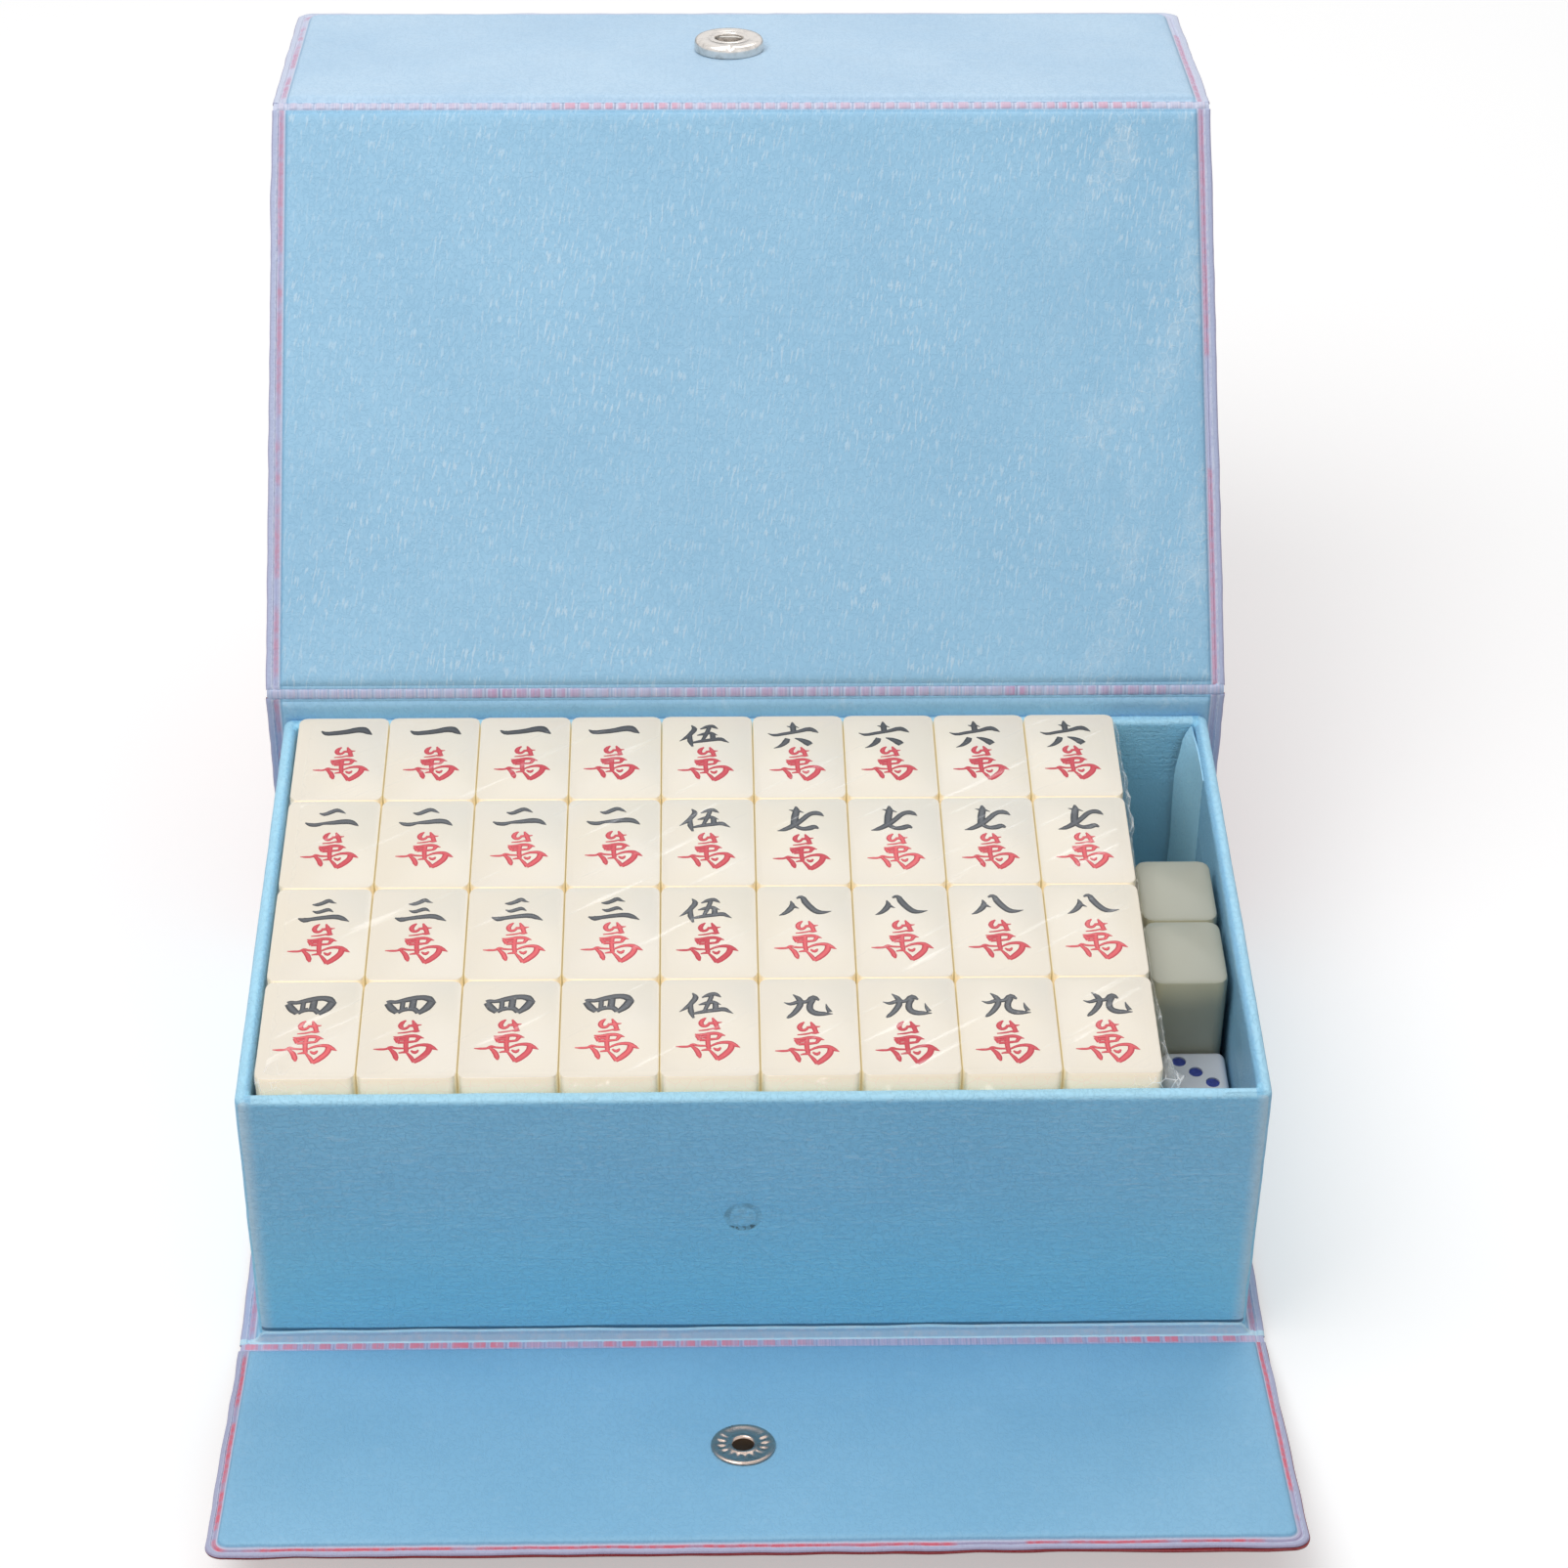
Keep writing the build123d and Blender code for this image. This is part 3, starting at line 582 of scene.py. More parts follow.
def makePly(name, side):
    panel, marks = panels[name], panelMarks[name]
    halfWidth, start, end = panelExtent(name)
    scale = panelSizes["frontHemScale" if name == "front_flap" else "hemScale"]
    hemSteps, foldSteps = [s * scale for s in panelSizes["hemSteps"]], panelSizes["foldSteps"]
    ridged = name == "base" and side > 0
    redEdged = name == "front_flap" and side < 0
    xs = knots(-halfWidth, halfWidth, hemSteps, hemSteps, panelSizes["pitch"])
    ts = knots(start, end, panelSizes["ridgeSteps"] if ridged else foldSteps,
               hemSteps if panel["free"] else foldSteps, panelSizes["pitch"])
    reach, zone, wave = hemSteps[-1], panelSizes["outlineZone"], panelSizes["outlineWave"]
    seed = 11 * len(name)
    noEdge = 1000                   # mm, stands for an edge that the panel doesn't have

    def corner(ex, et):             # carries a square corner cell onto the rounded hem
        e = min(ex, et)
        outer, inner = panelSizes["cornerRadius"], panelSizes["pillowCornerRadius"]
        radius = outer + (inner - outer) * min(e / scale / panelSizes["hemSettles"], 1)
        radius = max(min(radius, reach - e), 0.001)
        arc = radius * math.pi / 4
        run = (max(ex, et) - e) / max(reach - e, 0.001) * (arc + reach - e - radius)
        if run <= arc:
            turn = math.pi / 4 - run / radius
            near, far = radius - radius * math.cos(turn), radius - radius * math.sin(turn)
        else:
            near, far = 0, radius + run - arc
        return (e + far, e + near) if ex > et else (e + near, e + far)

    def place(i, j):
        x, t = xs[i], ts[j]
        ex, et = halfWidth - abs(x), (end - t if panel["free"] else noEdge)
        e = min(ex, et)
        if ex < reach and et < reach:
            newEx, newEt = corner(ex, et)
            x, t = math.copysign(halfWidth - newEx, x), end - newEt
        fold = min(t - start, noEdge if panel["free"] else end - t)
        h = min(lookUp(panelSizes["hem"], e / scale), lookUp(panelSizes["foldEnd"], fold))
        if ridged and t - start < panelSizes["ridgeReach"]:
            rise = smooth(*panelSizes["ridgeEnds"], abs(x)) * (0.9 + 0.16 * ripple(x, 5, seed, 9))
            h += (lookUp(panelSizes["ridge"], t - start) - h) * rise
        inner = smooth(*panelSizes["clearOfHem"], e) * smooth(*panelSizes["clearOfFold"], fold)
        h += marks["wave"] * inner * (ripple(x, t, seed, 21) + 0.5 * ripple(x, t, seed + 5, 8))
        h += 0.1 * smooth(4, 1.6, e) * smooth(0, 0.3, e) * ripple(x, t, seed + 9, 3.2)
        if side > 0:
            h += inner * sum(crease(x, t, c) for c in marks["creases"])
            for cx, ct, size, depth in marks["dents"]:
                away = math.hypot(x - cx, t - ct) / size
                h -= depth * math.exp(-away * away * 2)
        shift = smooth(zone, 0, ex) * ripple(t, seed, math.copysign(3, x), 7) * wave
        lift = smooth(zone, 0, et) * ripple(x, seed, 8, 7) * wave
        if redEdged:
            shown = 0.6 * smooth(-62, -50, x) + 0.3 * smooth(-10, 0, x) + 0.7 * smooth(44, 60, x)
            lift += panelSizes["redEdge"] * smooth(zone, 0, et) * shown * (1 + 0.5 * ripple(x, 3, 8, 12))
            shift += 0.1 * smooth(zone, 0, ex) * smooth(20, 30, x)
        spot = onPanel(name, x + math.copysign(shift, x), t + lift, side * h)
        return spot, (x, t, e / scale)

    kind = "_lining" if side > 0 else "_outer_skin"
    piece = gridPiece(name + kind + "_cloth", len(xs), len(ts), place)
    outward = panel["out"] * side
    facing(piece, outward)
    thicken(piece, panelSizes["plyThickness"])
    for point in piece.data.vertices:       # the two plies meet in the panel's middle plane
        depth = (point.co / mm - panel["origin"]).dot(outward)
        if depth < panelSizes["middleGap"]:
            point.co += outward * (panelSizes["middleGap"] - depth) * mm
    smoothShade(piece, 50)
    finish = clothFinishes[name + kind] if side > 0 else clothFinishes["outer_skin"]
    dress(piece, finish, panel["body"])
    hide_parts(name + kind)


for panelName in panels:
    makePly(panelName, 1)
    makePly(panelName, -1)
print("panels ready")


# Welded folds: strips with a row of pressed pads that show the red ply through
foldSizes = {                       # mm
    "across": [-1.1, -0.98, -0.88, -0.76, -0.62, -0.5, -0.3, 0, 0.3, 0.5, 0.62, 0.72, 0.82, 1.1],
    "pitch": 0.26,
    "bend": 0.5,
    "low": 0.24,
    "padRise": 0.16,
    "tuckFrom": 1.0,
    "tuck": 0.22,
    "sideInset": 0.15,
    "rowInset": 0.6,
    "shortestPad": 0.2,
    "thickness": 0.2,
}


def makeFoldMaterial(name, spec):
    material, start = newMaterial(name)
    cloth = marked(start, "cloth")      # mm across, how far into a pad, how strongly the pads show
    _, pad, strength = cloth.axes()
    uneven = cloth.stretch(1, 0, 0).noise(0.5, 3, 0.7)
    fine = cloth.stretch(1, 0, 0).noise(3.0, 2)
    patch = cloth.stretch(1, 1.2, 0).noise(0.9, 2, 0.6).step(0.36, 0.5)
    face = pad.step(0.3, 0.5) * strength * (0.3 + 0.7 * uneven.step(0.3, 0.55)) * (0.55 + 0.45 * patch)
    base = layered(fine.step(0.35, 0.65).tint(spec["cloth"], spec["pale"]), (face, spec["pad"]),
                   (pad.band(0.16, 0.1, 0.08) * 0.75 * strength, spec["pale"]),
                   # painted shade round the pads, outside their pressed faces
                   (pad.step(0.04, 0.0) * spec["grooveShading"] * strength, spec["grooveShade"]),
                   # white specks: painted glints on the weld
                   (cloth.stretch(1.2, 0.6, 0).cells(1.1).step(0.12, 0.05) * 0.5, (0.95, 0.97, 1, 1)))
    return principled(material, base, 0.38 + (fine - 0.5) * 0.3, (fine + uneven).bump(0.3))


# the lid's weld is painted bluer and duller for the shade it lies in, and the flap's paler for the light on it
foldFinishes = {
    "front": makeFoldMaterial("front_fold", {
        "cloth": colour(166, 178, 212), "pale": colour(206, 198, 226), "pad": colour(244, 136, 158),
        "grooveShade": colour(150, 140, 184), "grooveShading": 0.3}),
    "lid": makeFoldMaterial("lid_fold", {
        "cloth": colour(166, 192, 226), "pale": colour(206, 210, 234), "pad": colour(196, 154, 192),
        "grooveShade": colour(100, 120, 166), "grooveShading": 0.5}),
    "flap": makeFoldMaterial("flap_fold", {
        "cloth": colour(186, 200, 228), "pale": colour(216, 218, 238), "pad": colour(222, 164, 188),
        "grooveShade": colour(96, 120, 160), "grooveShading": 0.6}),
    "red": makeFoldMaterial("outer_fold", {
        "cloth": colour(160, 34, 42), "pale": colour(190, 60, 66), "pad": colour(140, 22, 32),
        "grooveShade": colour(84, 10, 18), "grooveShading": 0.7}),
}
# Pad length, gap and place across the fold in mm, and how strongly the pads show along it as (x, strength)
narrowPads = {"pad": 2.05, "gap": 0.4, "pads": (-0.82, 0.82)}
folds = {
    "front_fold_weld": {
        "between": ("base", "front_flap"), "bodies": ("tray_and_base", "front_flap"), "finish": "front",
        "pad": 2.7, "gap": 0.42, "pads": (-0.98, 0.62),
        "strength": [(-80, 0.7), (-60, 0.8), (-48, 1), (-37, 1), (-36, 0.35), (-24, 0.4), (-22, 0.95),
                     (-6, 0.8), (8, 0.4), (12, 0.08), (38, 0.08), (44, 0.3), (54, 0.45), (58, 1), (66, 1),
                     (68, 0.1), (71, 0.1), (72, 0.8), (75, 0.8), (77, 0.2)]},
    "rear_fold_weld": {
        "between": ("base", "spine"), "bodies": ("tray_and_base",), "finish": "lid", **narrowPads, "pad": 2.6,
        "strength": [(-80, 0.8), (80, 0.8)]},
    "lid_fold_weld": {
        "between": ("spine", "lid"), "bodies": ("tray_and_base", "lid"), "finish": "lid", **narrowPads,
        "strength": [(-80, 0.2), (-46, 0.3), (-43, 0.9), (-30, 0.8), (-27, 0.3), (-15, 0.3), (-11, 0.6),
                     (28, 0.6), (32, 0.25), (42, 0.25), (44, 0.9), (46, 0.9), (48, 0.25), (56, 0.3),
                     (59, 0.6), (69, 0.6), (72, 0.2)]},
    "flap_fold_weld": {
        "between": ("lid", "lid_flap"), "bodies": ("lid", "lid_flap"), "finish": "flap", **narrowPads,
        "strength": [(-80, 0.15), (-50, 0.3), (-34, 0.15), (-32, 0.8), (-10, 0.85), (-8, 0.5), (35, 0.5),
                     (53, 0.6), (55, 1), (58, 0.8), (69, 0.7), (71, 0.12)]},
}


def padStarts(half, length, gap):       # pads of uneven length in one row
    inset = foldSizes["rowInset"]
    row, x = [], -half + inset
    while x < half - inset - foldSizes["shortestPad"]:
        size = min(length * random.uniform(0.78, 1.15), half - inset - x)
        row.append((x, x + size))
        x += size + gap * random.uniform(0.8, 1.3)
    return row


def makeFold(node, spec):
    halfWidth = panelExtent("base")[0]
    first, second = (panels[p] for p in spec["between"])
    origin = rearFold if node == "rear_fold_weld" else second["origin"]
    alongA, outA, alongB, outB = first["along"], first["out"], second["along"], second["out"]
    if node == "front_fold_weld":       # the base runs back from this fold
        alongA = alongA * -1
    pads = padStarts(halfWidth, spec["pad"], spec["gap"])
    count = round(2 * halfWidth / foldSizes["pitch"])
    across, bend, inset = (foldSizes[k] for k in ("across", "bend", "sideInset"))
    padLow, padHigh = spec["pads"]

    def place(i, j, side):
        x = -halfWidth + inset + 2 * (halfWidth - inset) * i / count
        t = across[j]
        if t < -bend:
            centre, out = origin + alongA * t, outA
        elif t > bend:
            centre, out = origin + alongB * t, outB
        else:
            f = (t + bend) / (2 * bend)
            centre = origin - alongA * bend * (1 - f) ** 2 + alongB * bend * f ** 2
            out = outA.lerp(outB, f).normalized()
        inPad = max((min(x - a, b - x) for a, b in pads if a <= x <= b), default=0)
        inRow = min(t - padLow, padHigh - t)
        h = foldSizes["low"] + foldSizes["padRise"] * (smooth(0, 0.35, inPad) * smooth(0, 0.3, inRow))
        h += 0.06 * ripple(x, t, 3, 2.0) * smooth(0.8, 0.5, abs(t))
        if abs(t) > foldSizes["tuckFrom"]:
            h = foldSizes["tuck"]
        level = max(min(inPad / 0.5, inRow / 0.4, 1), 0)
        return centre + Vector((x, 0, 0)) + out * h * side, (x, level, lookUp(spec["strength"], x))

    for side, kind, finish, slot in ((1, "_lining_strip", spec["finish"], "welded_fold"),
                                     (-1, "_outer_strip", "red", "leathercloth_red")):
        piece = gridPiece(node + kind, count + 1, len(across), lambda i, j: place(i, j, side))
        facing(piece, (outA + outB) * side)
        thicken(piece, foldSizes["thickness"])
        smoothShade(piece, 50)
        dress(piece, foldFinishes[finish])
        if len(spec["bodies"]) == 1:
            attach(piece, spec["bodies"][0])
        else:
            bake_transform(piece)
        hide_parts(node)


for foldName, foldSpec in folds.items():
    makeFold(foldName, foldSpec)
print("folds ready")


# Tray: leathercloth over the outside, the rim and the top of the inside
traySizes = {                       # mm
    "cornerRadius": 1.6,
    "leastRadius": 0.12,
    "rimRadius": 0.8,
    "wall": 2.3,
    "turnIn": 12.0,
    "pitch": 1.7,
    "finePitch": 0.4,           # round the imprint
    "fineReach": 4.5,
    "footGap": 0.05,
    "mitreReach": 6,            # the wrap is mitred at the rim's corners
    "mitreRise": 0.13,
    "wrapThickness": 0.28,
}


def makeWrap():
    low, high = boxInMm("tray_wrap")
    halfX, halfY, bottom, top = high.x, high.y, low.z, high.z
    corner, rim, wall = traySizes["cornerRadius"], traySizes["rimRadius"], traySizes["wall"]

    def fineKnots(start, end, centre):
        spots, x = [start], start
        while x < end - 1e-6:
            fine = abs(x - centre) < traySizes["fineReach"]
            x += traySizes["finePitch"] if fine else traySizes["pitch"]
            spots.append(min(x, end))
        return spots

    straightX, straightY = halfX - corner, halfY - corner
    rows, columns = (round(2 * straight / traySizes["pitch"]) for straight in (straightY, straightX))
    stations = [("front", x / straightX) for x in fineKnots(-straightX, straightX, imprint["x"])]
    for turn, sideX, sideY, kind, count, way in (
            (-90, 1, -1, "right", rows, 1), (0, 1, 1, "back", columns, -1), (90, -1, 1, "left", rows, -1),
            (180, -1, -1, None, 0, 0)):
        stations += [("corner", turn + a, sideX, sideY) for a in range(15, 90, 15)]
        stations += [(kind, way * (2 * k / count - 1)) for k in range(count + 1) if kind]
    stations.append(stations[0])

    bends = [(a, rim * math.sin(math.radians(a)), rim * math.cos(math.radians(a))) for a in (20, 40, 60, 80)]
    profile = [(0, z, 0) for z in fineKnots(bottom + traySizes["footGap"], top - rim, imprint["z"])]
    profile += [(rim - cosine, top - rim + sine, a) for a, sine, cosine in bends]
    profile += [(rim + (wall - 2 * rim) * k / 3, top, 90) for k in range(4)]
    profile += [(wall - rim + sine, top - rim + cosine, 90 + a) for a, sine, cosine in bends]
    profile += [(wall, top - rim - (traySizes["turnIn"] - rim) * k / 8, 180) for k in range(9)]

    def place(i, j):
        station, (inset, z, tilt) = stations[i], profile[j]
        hx, hy, radius = halfX - inset, halfY - inset, max(corner - inset, traySizes["leastRadius"])
        kind = station[0]
        if kind == "corner":
            a = math.radians(station[1])
            outward = Vector((math.cos(a), math.sin(a), 0))
            x = station[2] * (hx - radius) + radius * outward.x
            y = station[3] * (hy - radius) + radius * outward.y
        elif kind in ("front", "back"):
            outward = Vector((0, -1 if kind == "front" else 1, 0))
            x, y = station[1] * (hx - radius), outward.y * hy
        else:
            outward = Vector((1 if kind == "right" else -1, 0, 0))
            x, y = outward.x * hx, station[1] * (hy - radius)
        a = math.radians(tilt)
        normal = outward * math.cos(a) + Vector((0, 0, math.sin(a)))
        swell = 0.1 * ripple(x, y, z * 2.2, 16) + 0.05 * ripple(x * 0.4, y * 0.4, z, 2.2)
        if tilt == 0 and kind == "front":
            reach = math.hypot(x - imprint["x"], z - imprint["z"])
            swell -= imprint["depth"] * math.exp(-((reach - imprint["radius"]) / 0.5) ** 2)
        if tilt == 90:
            swell = 0.05 * ripple(x, y, z, 5)
            edgeX, edgeY = halfX - abs(x), halfY - abs(y)
            if max(edgeX, edgeY) < traySizes["mitreReach"]:
                swell += traySizes["mitreRise"] * smooth(-0.25, 0.25, edgeX - edgeY)
        return Vector((x, y, z)) + normal * swell, (x, y, z)

    piece = gridPiece("tray_wrap_cloth", len(stations), len(profile), place)
    enter("EDIT")
    bpy.ops.mesh.select_all(action="SELECT")
    bpy.ops.mesh.remove_doubles(threshold=0.00001)
    enter("OBJECT")
    facing(piece, Vector((0, -1, 0)), lambda spot: spot.y < 0.5 - halfY and abs(spot.x) < 20 and spot.z < 40)
    thicken(piece, traySizes["wrapThickness"])
    smoothShade(piece, 45)
    dress(piece, clothFinishes["tray_wrap"], "tray_and_base")
    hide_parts("tray_wrap")


makeWrap()
print("tray ready")


# Boards, tiles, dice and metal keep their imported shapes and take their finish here
def makeGreyboard():
    material, start = newMaterial("greyboard")
    place = placeInMm(start)
    fibre = place.stretch(1, 0.3, 1).noise(1.6, 4, 0.7)
    base = layered(fibre.step(0.3, 0.7).tint(colour(146, 140, 128), colour(176, 170, 156)),
                   (place.cells(0.9).step(0.25, 0.1) * 0.4, colour(110, 104, 96)))
    return principled(material, base, 0.85 + (fibre - 0.5) * 0.2, fibre.bump(0.4, 0.0003))


tileSizes = {                       # mm
    "width": 14.9, "length": 21.9, "between": 0.1, "row": 9,
    "radii": (1.4, 0.32), "spareRadii": (1.9, 0.55),    # of the upright edges and round the top
    "rowEnds": ((134.7, 134.3), (0.1, 0.4)),    # from the row's left end: only faces between tiles glow
    "frontFaces": (-43.2, -43.7),
}
# The glows are painted light: emission that stands in for light gone through the plastic, and rise is where they
# set in, as a height in mm
# face is the tops' colour; side is painted lighter on the front faces, edge warmer on the sideways faces and in
# the tops' random tone, and gap a painted shade line between tiles
tileSpecs = {
    "tile_cream": {
        "face": colour(240, 231, 216), "side": colour(250, 240, 218), "edge": colour(246, 232, 204),
        "gap": colour(214, 200, 160), "toneWidth": 15.0, "between": (0.24, 0.2, 0.14, 1),
        "front": (0.28, 0.2, 0.13, 1), "sideways": (0.14, 0.12, 0.065, 1), "rise": (-2, -1)},
    # the spares are white tiles, painted grey for the shade of their narrow slot
    "spare_tile_white": {
        "face": colour(164, 165, 149), "side": colour(166, 163, 144), "edge": colour(162, 160, 142),
        "gap": colour(150, 147, 128), "toneWidth": 100, "between": (0.08, 0.075, 0.042, 1),
        "front": (0.08, 0.075, 0.042, 1), "sideways": black, "rise": (43, 49)},
    # the die's sides are painted darker than its top, for shade
    "die_white": {
        "face": colour(216, 218, 224), "side": colour(200, 204, 212), "edge": colour(206, 210, 218),
        "gap": colour(190, 196, 206), "toneWidth": 100},
}


def makeTilePlastic(name):
    spec = tileSpecs[name]
    material, start = newMaterial(name)
    place = placeInMm(start)
    x, y, z = place.axes()
    sideways, forward = (axis.unsigned() for axis in start.node("TexCoord", out="Normal").axes()[:2])
    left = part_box("pack_4_tile_row_1")[0].x / mm
    column = (x - left) / spec["toneWidth"]
    row = y / (tileSizes["length"] + tileSizes["between"])
    tile = start.node("CombineXYZ", None, {0: column.floor(), 1: row.floor()})
    tone = start.node("TexWhiteNoise", {"noise_dimensions": "2D"}, {"Vector": tile})
    cloud = place.noise(0.09, 3)
    right, leftEnd = ([left + reach for reach in ends] for ends in tileSizes["rowEnds"])
    between = x.step(*right) * x.step(*leftEnd)
    base = layered((cloud.step(0.3, 0.7) * 0.2 + tone * 0.12).tint(spec["face"], spec["edge"]),
                   (forward.step(0.3, 0.9), spec["side"]), (sideways.step(0.4, 0.85), spec["edge"]),
                   (sideways.step(0.88, 0.99) * between, spec["gap"]),
                   (place.cells(0.35).step(0.05, 0.02) * 0.15, colour(170, 150, 120)))
    sockets = {"Coat Weight": 0.25, "Coat Roughness": 0.15}
    if "rise" in spec:
        glow = y.step(*tileSizes["frontFaces"]).tint(spec["between"], spec["front"])
        glow = (forward.step(0.6, 0.98) * z.step(*spec["rise"])).tint(black, glow)
        sockets["Emission Color"] = (sideways.step(0.6, 0.98) * between).tint(glow, spec["sideways"])
        sockets["Emission Strength"] = 1.0
    rough = 0.24 + cloud * 0.1 + place.noise(1.5, 2) * 0.06
    return principled(material, base, rough, place.noise(0.5, 2).bump(0.1), sockets)


def makeMetal(name, bright, dark, roughness):
    material, start = newMaterial(name)
    place = placeInMm(start)
    smear = place.noise(0.5, 4, 0.65)
    pit = place.cells(2.6).step(0.16, 0.06)
    base = layered((smear.step(0.45, 0.8) * 0.6).tint(bright, dark), (pit * 0.4, dark))
    height = smear * 0.3 + place.noise(3.0, 2) * 0.4
    return principled(material, base, roughness + smear * 0.12 + pit * 0.15, height.bump(0.07),
                      {"Metallic": 1.0})


finishes = {
    "greyboard": makeGreyboard(),
    **{name: makeTilePlastic(name) for name in tileSpecs},
    "nickel_steel": makeMetal("nickel_steel", colour(226, 220, 214), colour(156, 150, 146), 0.16),
    # post_steel is warmed and darkened as a painted reflection of the darker surroundings that the post faces
    "post_steel": makeMetal("post_steel", colour(196, 176, 164), colour(96, 86, 82), 0.2),
    # post_well is the dark disc of painted shade across the mouth of the post's hollow
    "post_well": makeMetal("post_well", colour(70, 52, 38), colour(34, 26, 22), 0.5),
    "spring_steel": makeMetal("spring_steel", colour(190, 188, 184), colour(120, 118, 116), 0.3),
    "tray_lining": clothFinishes["tray_liner"],
}
for part in frame["record"]["subparts"]:
    finish = finishes.get(part["material_slot"])
    if finish is not None:
        held = nodes[part["node"]].data.materials
        held.clear()
        held.append(finish)
print("packed parts finished")


# Tiles: blocks with rounded corners, softer along the top, one joined piece for each row and for the spares
def makeCopy(piece, move):
    twin = piece.copy()
    twin.data = piece.data.copy()
    bpy.context.scene.collection.objects.link(twin)
    twin.data.transform(move)
    return twin


def joinAll(name, group):
    startFresh()
    for piece in group:
        piece.select_set(True)
    bpy.context.view_layer.objects.active = group[0]
    bpy.ops.object.join()
    return rename(group[0], name)


def bevelEdges(piece, chosen, radius, segments):
    pick(piece)
    enter("EDIT")
    bpy.ops.mesh.select_mode(type="EDGE")
    bpy.ops.mesh.select_all(action="DESELECT")
    enter("OBJECT")
    for edge in piece.data.edges:
        edge.select = chosen(*(piece.data.vertices[k].co for k in edge.vertices))
    enter("EDIT")
    bpy.ops.mesh.bevel(offset=radius * mm, segments=segments, affect="EDGES")
    bpy.ops.mesh.select_mode(type="VERT")
    enter("OBJECT")


def makeBlock(size, planRadius, topRadius):     # stands on z = 0 with its middle over the origin
    startFresh()
    bpy.ops.mesh.primitive_cube_add(size=1)
    block = bpy.context.object
    for point in block.data.vertices:
        point.co = Vector((point.co.x * size.x, point.co.y * size.y, (point.co.z + 0.5) * size.z)) * mm
    top = size.z * mm
    bevelEdges(block, lambda a, b: abs(a.z - b.z) > top / 2, planRadius, 3)
    bevelEdges(block, lambda a, b: min(a.z, b.z) > top * 0.99, topRadius, 2)
    bevelEdges(block, lambda a, b: max(a.z, b.z) < top * 0.01, topRadius, 1)
    return block


def makeBlocks(node, count, radii, slot, body):      # count: how many along x, y and z
    low, high = boxInMm(node)
    gap = tileSizes["between"]
    size = Vector((high[k] - low[k] + gap) / count[k] - gap for k in range(3))
    block = makeBlock(size, *radii)
    row = []
    for i in range(count[0]):
        for j in range(count[1]):
            for k in range(count[2]):
                place = Vector((low.x + size.x / 2 + (size.x + gap) * i,
                                low.y + size.y / 2 + (size.y + gap) * j, low.z + (size.z + gap) * k))
                row.append(makeCopy(block, Matrix.Translation(place * mm)))
    bpy.data.objects.remove(block)
    piece = joinAll(node + "_blocks", row)
    smoothShade(piece, 35)
    dress(piece, finishes[slot], body)
    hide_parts(node)


for pack in range(1, 5):
    for row in range(1, 5):
        makeBlocks("pack_%d_tile_row_%d" % (pack, row), (tileSizes["row"], 1, 1), tileSizes["radii"],
                   "tile_cream", "tile_pack_%d" % pack)
makeBlocks("spare_tiles", (1, 2, 2), tileSizes["spareRadii"], "spare_tile_white", "spare_tiles")
print("tiles ready")


# Characters on the tiles: brush strokes as (across, down from the back edge, half width) in mm
tenThousand = [
    [(7.5, 8, 0.12), (7, 8.55, 0.3), (6.8, 9.2, 0.34), (7.2, 9.75, 0.28), (7.8, 9.5, 0.22),
     (8.05, 8.95, 0.15)],
    [(8.45, 8, 0.12), (8.8, 8.95, 0.34), (9.15, 10.2, 0.3)],
    [(7.9, 9.15, 0.2), (8.8, 9.1, 0.3), (9.8, 8.95, 0.06)],
    [(8.4, 10.3, 0.15), (9, 10.3, 0.25), (9.6, 10.3, 0.1)],
    [(6.45, 10.7, 0.1), (7.6, 10.55, 0.16), (8.5, 10.3, 0.14)],
    [(5.9, 11.45, 0.1), (6.75, 11.6, 0.25), (7.95, 11.35, 0.3), (8.95, 11.3, 0.3), (9.6, 11.55, 0.28),
     (10.3, 11.8, 0.05)],
    [(6.15, 11.7, 0.25), (6.65, 12.65, 0.3)],
    [(9.55, 11.65, 0.3), (9.15, 12.45, 0.22)],
    [(6.55, 12.7, 0.22), (7.85, 12.6, 0.24), (9.25, 12.4, 0.2)],
    [(6.7, 12.1, 0.22), (7.8, 12.05, 0.2)],
    [(7.85, 11.35, 0.3), (7.75, 12.85, 0.32), (7.9, 14.65, 0.3)],
    [(3.2, 14, 0.08), (4.1, 14.05, 0.2), (5.1, 13.95, 0.2), (5.6, 13.6, 0.22), (6.2, 13.8, 0.2),
     (7.65, 13.9, 0.16)],
    [(5.45, 13.9, 0.2), (6.15, 14.8, 0.35), (6.5, 15.8, 0.35), (6.65, 16.45, 0.12)],
    [(6.8, 14.85, 0.12), (7.5, 14.7, 0.2), (8.1, 14.7, 0.2)],
    [(8.1, 14, 0.15), (8.9, 13.5, 0.2), (9.9, 13.2, 0.26), (10.95, 13.3, 0.34), (11.7, 13.85, 0.3),
     (12.35, 14.3, 0.05)],
    [(11.15, 13.55, 0.4), (11, 14.5, 0.42), (10.35, 15.5, 0.45), (9.6, 16.3, 0.42), (9.1, 16.9, 0.2)],
    [(9.15, 16.75, 0.3), (8.65, 15.8, 0.28), (8.2, 15.1, 0.2), (7.9, 14.65, 0.15)],
    [(8.55, 14.35, 0.12), (9.15, 14.75, 0.3), (9.6, 14.25, 0.12)],
]
